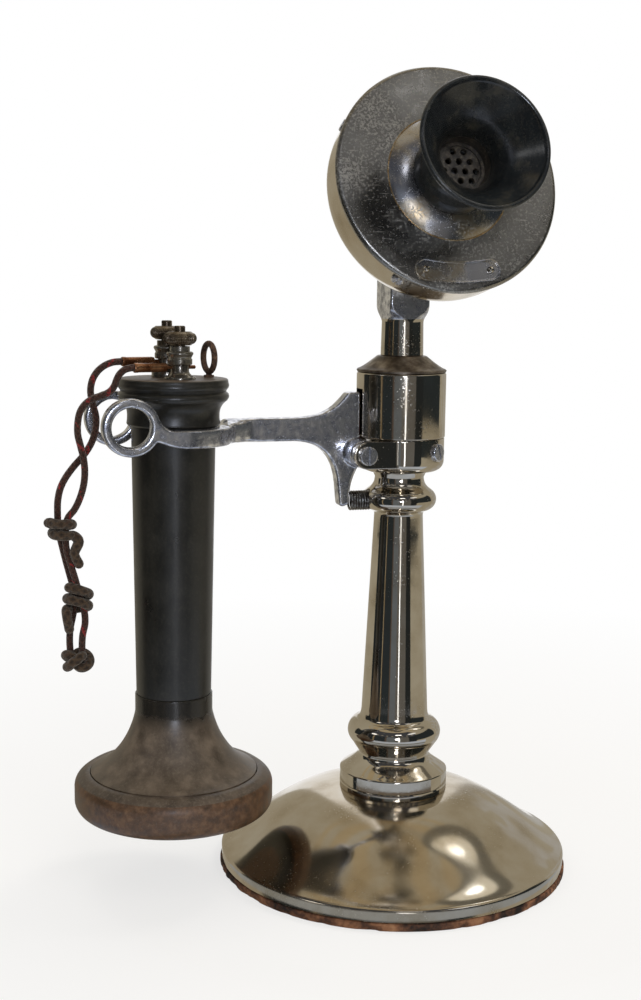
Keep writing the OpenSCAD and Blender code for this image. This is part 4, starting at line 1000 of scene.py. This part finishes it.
# %% Trumpet and grid
MOUTH_Z, GRID_Z, GRID_T = 35.1, 11.1, 1.2
spigot = [(8.0, GRID_Z - GRID_T), (6.6, GRID_Z - GRID_T), (6.6, RISE_TOP - 2.4), (8.9, RISE_TOP - 2.4)]
thick_neck = raised(RISE_TOP, [(8.9, 0.3), (14.4, 0.3)] + arc(14.6, 0.8, 0.5, -90, 0, 6)
                    + curve((15.1, 1.2), (15.1, 5), (14.6, 8.4), (13.9, 10.2), 16)
                    + curve((13.7, 10.7), (13.2, 11.2), (13.3, 12.4), (13.6, 13.2), 8))
flare = curve((14, RISE_TOP + 14.2), (15.4, RISE_TOP + 19), (18, MOUTH_Z - 6.5), (22.8, MOUTH_Z - 2), 30)
lip = arc(23, MOUTH_Z - 1, 1, -40, 130, 12)
bowl = curve((22, MOUTH_Z - 1), (16, MOUTH_Z - 7.4), (10.1, MOUTH_Z - 12), (9.4, GRID_Z + 2), 40)
trumpet = turned("moulded_trumpet", spigot + thick_neck + flare + lip + bowl
                 + raised(GRID_Z, [(9.3, 0.6), (8.1, 0.6), (8.1, 0), (8.0, 0)]), TRANSMITTER, 192)
finish_piece(trumpet, polished_rubber, "gloss_rubber", "mouthpiece", "mouthpiece")
second_finish(trumpet, worn_rubber, TRANSMITTER,
              lambda radius, height: radius < 10.4 and GRID_Z < height < GRID_Z + 5)

PITCH = 4.1
grid = rod("speaking_grid", 8.05, GRID_Z - GRID_T, GRID_Z, TRANSMITTER, 64)
drill_line = raised(GRID_Z, [(0, -3), (1, -3), (1, -0.5), (1.35, 0.2), (1.35, 1), (0, 1)])
drills = []
for i in range(-3, 4):
    for j in range(-3, 4):
        x = PITCH * (i + j / 2)
        y = PITCH * (j * math.sin(math.radians(60)) + math.tan(math.radians(30)))
        if math.hypot(x, y) < 1.6 * PITCH:
            drills.append(turned("drill", drill_line, TRANSMITTER @ Matrix.Translation((x, y, 0)), 20))
print(len(drills), "holes in the grid")
finish_piece(cut(grid, joined("drills", *drills)), worn_rubber, "gloss_rubber", "mouthpiece", "mouthpiece")

# %% [markdown]
# ## Receiver
# The receiver is hard rubber too, in four pieces: a long tapering barrel, a bell that flares to the
# ear cap, the ear cap that screws over it, and a cap with two beads at the tail. The barrel has
# kept its black. The bell has faded to brown below the place where hands held it, and the ear cap
# has been rubbed down to tan, with its underside darker. Dust lies on the ear cap's shoulder and
# on top of the tail cap.

# %% Old hard rubber
satin_rubber = hard_rubber("satin hard rubber", ((0.3, "#181816"), (0.5, "#1f1f1c"), (0.7, "#292824")),
                           (0.26, 0.4), 14, 0.06, grain=0.02)
faded_rubber = hard_rubber("faded hard rubber", ((0.3, "#42382e"), (0.5, "#5b4f43"), (0.7, "#746657")),
                           (0.34, 0.56), 7, 0.25, handled=(66, 72))
tan_rubber = hard_rubber("rubbed tan hard rubber", ((0.3, "#3d2c1c"), (0.5, "#573d27"), (0.72, "#715338")),
                         (0.36, 0.52), 3, 0.15)
dusty_rubber = hard_rubber("dusty hard rubber", ((0.3, "#3b3129"), (0.5, "#52463b"), (0.7, "#66594b")),
                           (0.4, 0.6), 7, 0.4)
print("four more kinds of hard rubber")

# %% Barrel, bell and caps
RECEIVER_X = -91.5
RECEIVER = Matrix.Translation((RECEIVER_X, 0, 0))
TAIL_Z, REC_TOP, BELL_Z, FLANGE_Z, FLANGE_LOW, EAR_TOP, EAR_Z = 181.5, 199.2, 78, 47.4, 39.2, 47, 30.6
FLANGE_R, EAR_R, BARREL_BORE, BARREL_R, TAPER = 32.2, 38.4, 12.2, 14.4, 1.5
barrel = turned("tapered_barrel", [(BARREL_BORE, BELL_Z), (14.2, BELL_Z), (BARREL_R, BELL_Z + 0.2)]
                + [(BARREL_R + TAPER * t / 10, BELL_Z + (TAIL_Z - BELL_Z) * t / 10) for t in range(1, 10)]
                + [(15.9, TAIL_Z - 0.2), (15.7, TAIL_Z), (BARREL_BORE, TAIL_Z)], RECEIVER)
finish_piece(barrel, satin_rubber, "black_rubber", "receiver", "receiver_barrel")

outside = (arc(14.5, BELL_Z - 0.4, 0.4, 90, 0, 5)
           + curve((14.9, BELL_Z - 7), (16.5, BELL_Z - 16), (22.5, FLANGE_Z + 3.6),
                   (FLANGE_R, FLANGE_Z), 48))
inside = curve((27, FLANGE_Z - 3.4), (19, FLANGE_Z + 0.1), (13.5, BELL_Z - 20),
               (BARREL_BORE, BELL_Z - 12), 20)
bell = turned("flared_bell", [(BARREL_BORE, BELL_Z), (14.5, BELL_Z)] + outside
              + [(FLANGE_R, FLANGE_LOW), (27, FLANGE_LOW)] + inside, RECEIVER, 192)
finish_piece(bell, faded_rubber, "bell_rubber", "receiver", "receiver_bell")

RIM, BEAD, PLUG_R, PLUG_Z = 17.5, 20.9, 12.1, 176
lower_bead = raised(TAIL_Z, arc(RIM - 0.3, 0.8, 0.4, -30, 30, 4)
                    + curve((RIM, 1.4), (RIM - 0.5, 5.6), (RIM + 0.1, 7.6), (BEAD - 0.6, 9.6), 24)
                    + arc(BEAD - 1.7, 11.1, 1.7, -40, 60, 14) + [(BEAD - 1.1, 12.9)])
upper_bead = raised(REC_TOP, arc(BEAD - 1.9, -2.5, 1.9, -50, 30, 12)
                    + arc(BEAD - 1.1, -0.9, 0.8, 10, 85, 8) + [(BEAD - 2, -0.05), (0, 0)])
tail = turned("beaded_tail_cap", [(0, PLUG_Z), (PLUG_R, PLUG_Z), (PLUG_R, TAIL_Z), (RIM - 0.4, TAIL_Z)]
              + lower_bead + upper_bead, RECEIVER, 192)
finish_piece(tail, satin_rubber, "black_rubber", "receiver", "tail_cap")
second_finish(tail, dusty_rubber, RECEIVER, lambda radius, height: height > REC_TOP - 0.25)

shoulder = (raised(EAR_TOP, [(FLANGE_R + 0.3, 0), (FLANGE_R + 1.6, 0)]
                   + curve((FLANGE_R + 2.6, -0.3), (EAR_R - 1.6, -1.6), (EAR_R - 0.3, -2.4),
                           (EAR_R, -5), 20))
            + curve((EAR_R, EAR_TOP - 11), (EAR_R - 0.3, EAR_TOP - 14.4), (EAR_R - 3.4, EAR_Z + 0.2),
                    (EAR_R - 6.5, EAR_Z), 20))
hollow = raised(EAR_Z, curve((EAR_R - 9, 0), (EAR_R - 14, 0.6), (EAR_R - 17, 4.8), (10.5, 5.2), 28)
                + [(6.9, 5.4), (6.5, 5.8), (6.5, 7.4), (27.2, 7.4), (27.2, 8), (FLANGE_R + 0.3, 8)])
ear = turned("rubbed_ear_cap", shoulder + hollow, RECEIVER, 192)
finish_piece(ear, tan_rubber, "brown_rubber", "ear_cap", "ear_cap")
second_finish(ear, dusty_rubber, RECEIVER, lambda radius, height: height > EAR_TOP - 2.2)
# The faces at the bottom of the ear cap take the black satin rubber, so the cap is darker underneath.
second_finish(ear, satin_rubber, RECEIVER, lambda radius, height: height < EAR_Z + 1)

# %% [markdown]
# ## Terminals
# Two brass posts hold the cord's copper tips by knurled nuts, and an iron eye beside them takes a
# hanging string. The back post stands 1.6 mm higher than the front one. The tips are rolled from
# sheet copper round the end of each strand.

# %% Copper tips
TERMINALS = Matrix.Translation((RECEIVER_X, 0, REC_TOP)) @ turn_by(10, "Z")
POSTS = ((-6.4, 0), (6.4, 1.6))
TIP_Z = 4.35
copper = oxidised_brass("rolled sheet copper", ((0.35, "#6b432c"), (0.5, "#9a6a4a"), (0.68, "#c29470")),
                        4, (0.2, 0.34), crust=0.01)
ferrule_line = [(0, 5.2), (1.1, 5.2), (1.5, 5.4), (1.7, 6.2), (1.7, 16.4), (1.8, 16.7),
                (1.8, 17.8), (1.7, 18.05), (1.45, 18.1), (1.35, 17.6), (0, 17.6)]
tips = []
for across, lift in POSTS:
    at = TERMINALS @ Matrix.Translation((0, across, TIP_Z + lift)) @ turn_by(-90, "Y")
    tips.append(turned("pin", [(0, -6.1), (0.4, -6.2), (0.7, -5.9), (0.7, 5.3), (0, 5.3)], at, 24))
    tips.append(turned("ferrule", ferrule_line, at, 48))
finish_piece(joined("rolled_tips", *tips), copper, "copper", "receiver", "cord_tips")

# %% [markdown]
# ## Metals
# Brass goes from yellow to brown as it loses its plate, and iron and steel go from grey to brown as
# they stain. The same two functions therefore make all the plain metals, outside and inside.

# %% Plain metals
brass = oxidised_brass("bright brass", ((0.35, "#a8803f"), (0.5, "#c59b54"), (0.66, "#d6b370")),
                       5, (0.2, 0.35))
silver_brass = oxidised_brass("brass with worn nickel",
                              ((0.35, "#5f5a52"), (0.5, "#89847b"), (0.66, "#aeaaa1")),
                              4, (0.16, 0.28), crust=0.01)
dark_knurl = oxidised_brass("browned brass", ((0.35, "#453c33"), (0.5, "#6b5f50"), (0.66, "#978a76")),
                            4, (0.2, 0.34), crust=0.01)
cast_iron = stained_steel("grey cast iron", "#4a4644", "#33291f", 0.6)
magnet_steel = stained_steel("forged magnet steel", "#7d7d7c", "#55493d", 0.4)
tin_plate = stained_steel("japanned sheet iron", "#2f2f30", "#241f1b", 0.4)
print("six plain metals")

# %% [markdown]
# The posts are turned, and keep some nickel. Their studs and nuts are browner. The edge of each nut
# is knurled so that fingers grip it: a steel wheel rolls fine ridges into it. The ridges are real
# geometry here, as each point near the edge moves in by a wave that runs 44 times round the nut.

# %% Posts and knurled nuts
STUD_Z, KNURLS, RIDGE = 12.3, 44, 0.4
post_line = (curve((5.7, 0.7), (5, 1.2), (3.8, 1.5), (3.4, 2.8), 12) + [(3.4, 5.1)]
             + arc(4.2, 5.7, 0.4, -90, 0, 6) + [(4.6, 7.3), (4.3, 7.6), (4.3, 7.9)]
             + arc(4.2, 9.4, 0.8, -50, 90, 12)
             + [(3.7, 10.4), (3.7, 12.1), (2, 12.2), (2, 19.3), (1.7, 19.6), (0, 19.6)])
posts = []
for across, lift in POSTS:
    at = TERMINALS @ Matrix.Translation((0, across, lift))
    post = turned("post", [(0, -lift), (5.8, -lift), (5.8, 0.4)] + post_line, at, 96)
    posts.append(cut(post, block((-3, -0.5, 18.6), (3, 0.5, 22.2), at)))
turned_posts = joined("turned_posts", *posts)
finish_piece(turned_posts, silver_brass, "dark_brass", "receiver", "binding_posts")
second_finish(turned_posts, dark_knurl, TERMINALS, lambda radius, height: height > STUD_Z)

for node in ("front_nut", "back_nut"):
    low, high = (Vector(corner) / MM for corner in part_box(node))
    middle, nut_r, tall = (low + high) / 2, (high.x - low.x) / 2, high.z - low.z
    nut = turned("knurled_" + node, [(2.3, 0), (4.2, 0)] + arc(nut_r - 2.2, tall / 2, 2.2, -72, 72, 16)
                 + [(4.2, tall), (2.3, tall)], Matrix.Translation((middle.x, middle.y, low.z)), 416)
    for point in nut.data.vertices:
        arm = point.co - Vector((middle.x, middle.y, 0)) * MM
        radius = math.hypot(arm.x, arm.y) / MM
        near_edge = min(1.0, max(0.0, (radius - nut_r + 1.1) / 0.5))
        wave = 0.5 + 0.5 * math.cos(KNURLS * math.atan2(arm.y, arm.x))
        point.co.xy -= RIDGE * near_edge * wave / radius * arm.xy
    finish_piece(nut, dark_knurl, "dark_brass", node, node)

# %% [markdown]
# ## Materials of the pieces that stay
# The rest of the solids have the right shape as they are, so each one only gets a better material.
# Most of them are inside: a telephone that is taken apart shows brass, steel, iron, fibre and silk.
# Rust is not a metal any more but a crust of oxide: matt, orange to dark brown, and rough. The eye
# on the receiver has it all over, in grains of about a millimetre.

# %% Rust, fibre, soft rubber and silk
def grained(name, stops, mark_mm, rough, height_mm):
    """A matt material with a coloured grain."""
    material, tree, shader, place = blank(name, Roughness=rough)
    grain = add(tree, "TexNoise", Vector=place, Scale=marks(mark_mm), Detail=8.0, Roughness=0.7)
    colour = add(tree, "ValToRGB", grain, stops=stops)
    bump = add(tree, "Bump", Height=grain, Strength=0.8, Distance=height_mm * MM)
    feed(tree, shader, {"Base Color": colour, "Normal": bump})
    return material


def silk_winding(name):
    """Green silk-covered wire, 0.2 mm across, drawn 0.6 mm across so that its turns show."""
    material, tree, shader, place = blank(name, Roughness=0.7, Sheen_Weight=0.3)
    turns = add(tree, "TexWave", bands_direction="Z", Vector=place, Scale=marks(0.6) * math.pi / 10)
    # The ramp paints the grooves between the turns dark and their tops light green: painted shade over the
    # wire's green.
    colour = add(tree, "ValToRGB", turns, stops=((0.2, "#15281a"), (0.8, "#36603d")))
    bump = add(tree, "Bump", Height=turns, Strength=0.8, Distance=0.15 * MM)
    feed(tree, shader, {"Base Color": colour, "Normal": bump})
    return material


rust = grained("rusted iron", ((0.35, "#2a1d17"), (0.5, "#4e392c"), (0.66, "#735946")), 1.2, 0.8, 0.15)
fibre = grained("vulcanised fibre", ((0.35, "#5a2018"), (0.6, "#7a3123")), 3, 0.55, 0.03)
soft_rubber = grained("soft black rubber", ((0.35, "#191817"), (0.6, "#2a2827")), 4, 0.8, 0.03)
green_silk = silk_winding("silk-covered wire")
print("rust, fibre, soft rubber and silk")

# %% [markdown]
# The dictionary pairs each material with the nodes that wear it. The plate's rivets are bright. The
# screws have the same nickel as the castings and keep the CAD's slots.

# %% Dress the CAD nodes
worn_by = {
    bright_nickel: ("plate_rivets",),
    cast_nickel: ("bracket_screws", "lever_pivot_screw", "tilt_screw", "rim_screws"),
    brass: ("clamp_tube", "clamp_nuts", "switch_springs", "carbon_button", "coil_plate"),
    cast_iron: ("base_weight", "button_bridge"),
    magnet_steel: ("transmitter_diaphragm", "damping_springs", "receiver_magnet", "pole_pieces"),
    tin_plate: ("receiver_diaphragm",),
    rust: ("hanging_ring",),
    fibre: ("switch_block",),
    soft_rubber: ("diaphragm_gasket",),
    polished_rubber: ("cord_bushing",),
    green_silk: ("pole_coils",)}
for material, nodes in worn_by.items():
    for node in nodes:
        cad[node].data.materials.clear()
        cad[node].data.materials.append(material)
print(sum(len(nodes) for nodes in worn_by.values()), "CAD nodes dressed")

# %% [markdown]
# ## Finish
# The scene is brought up to date once more at the end.

# %% Finish
bpy.context.view_layer.update()
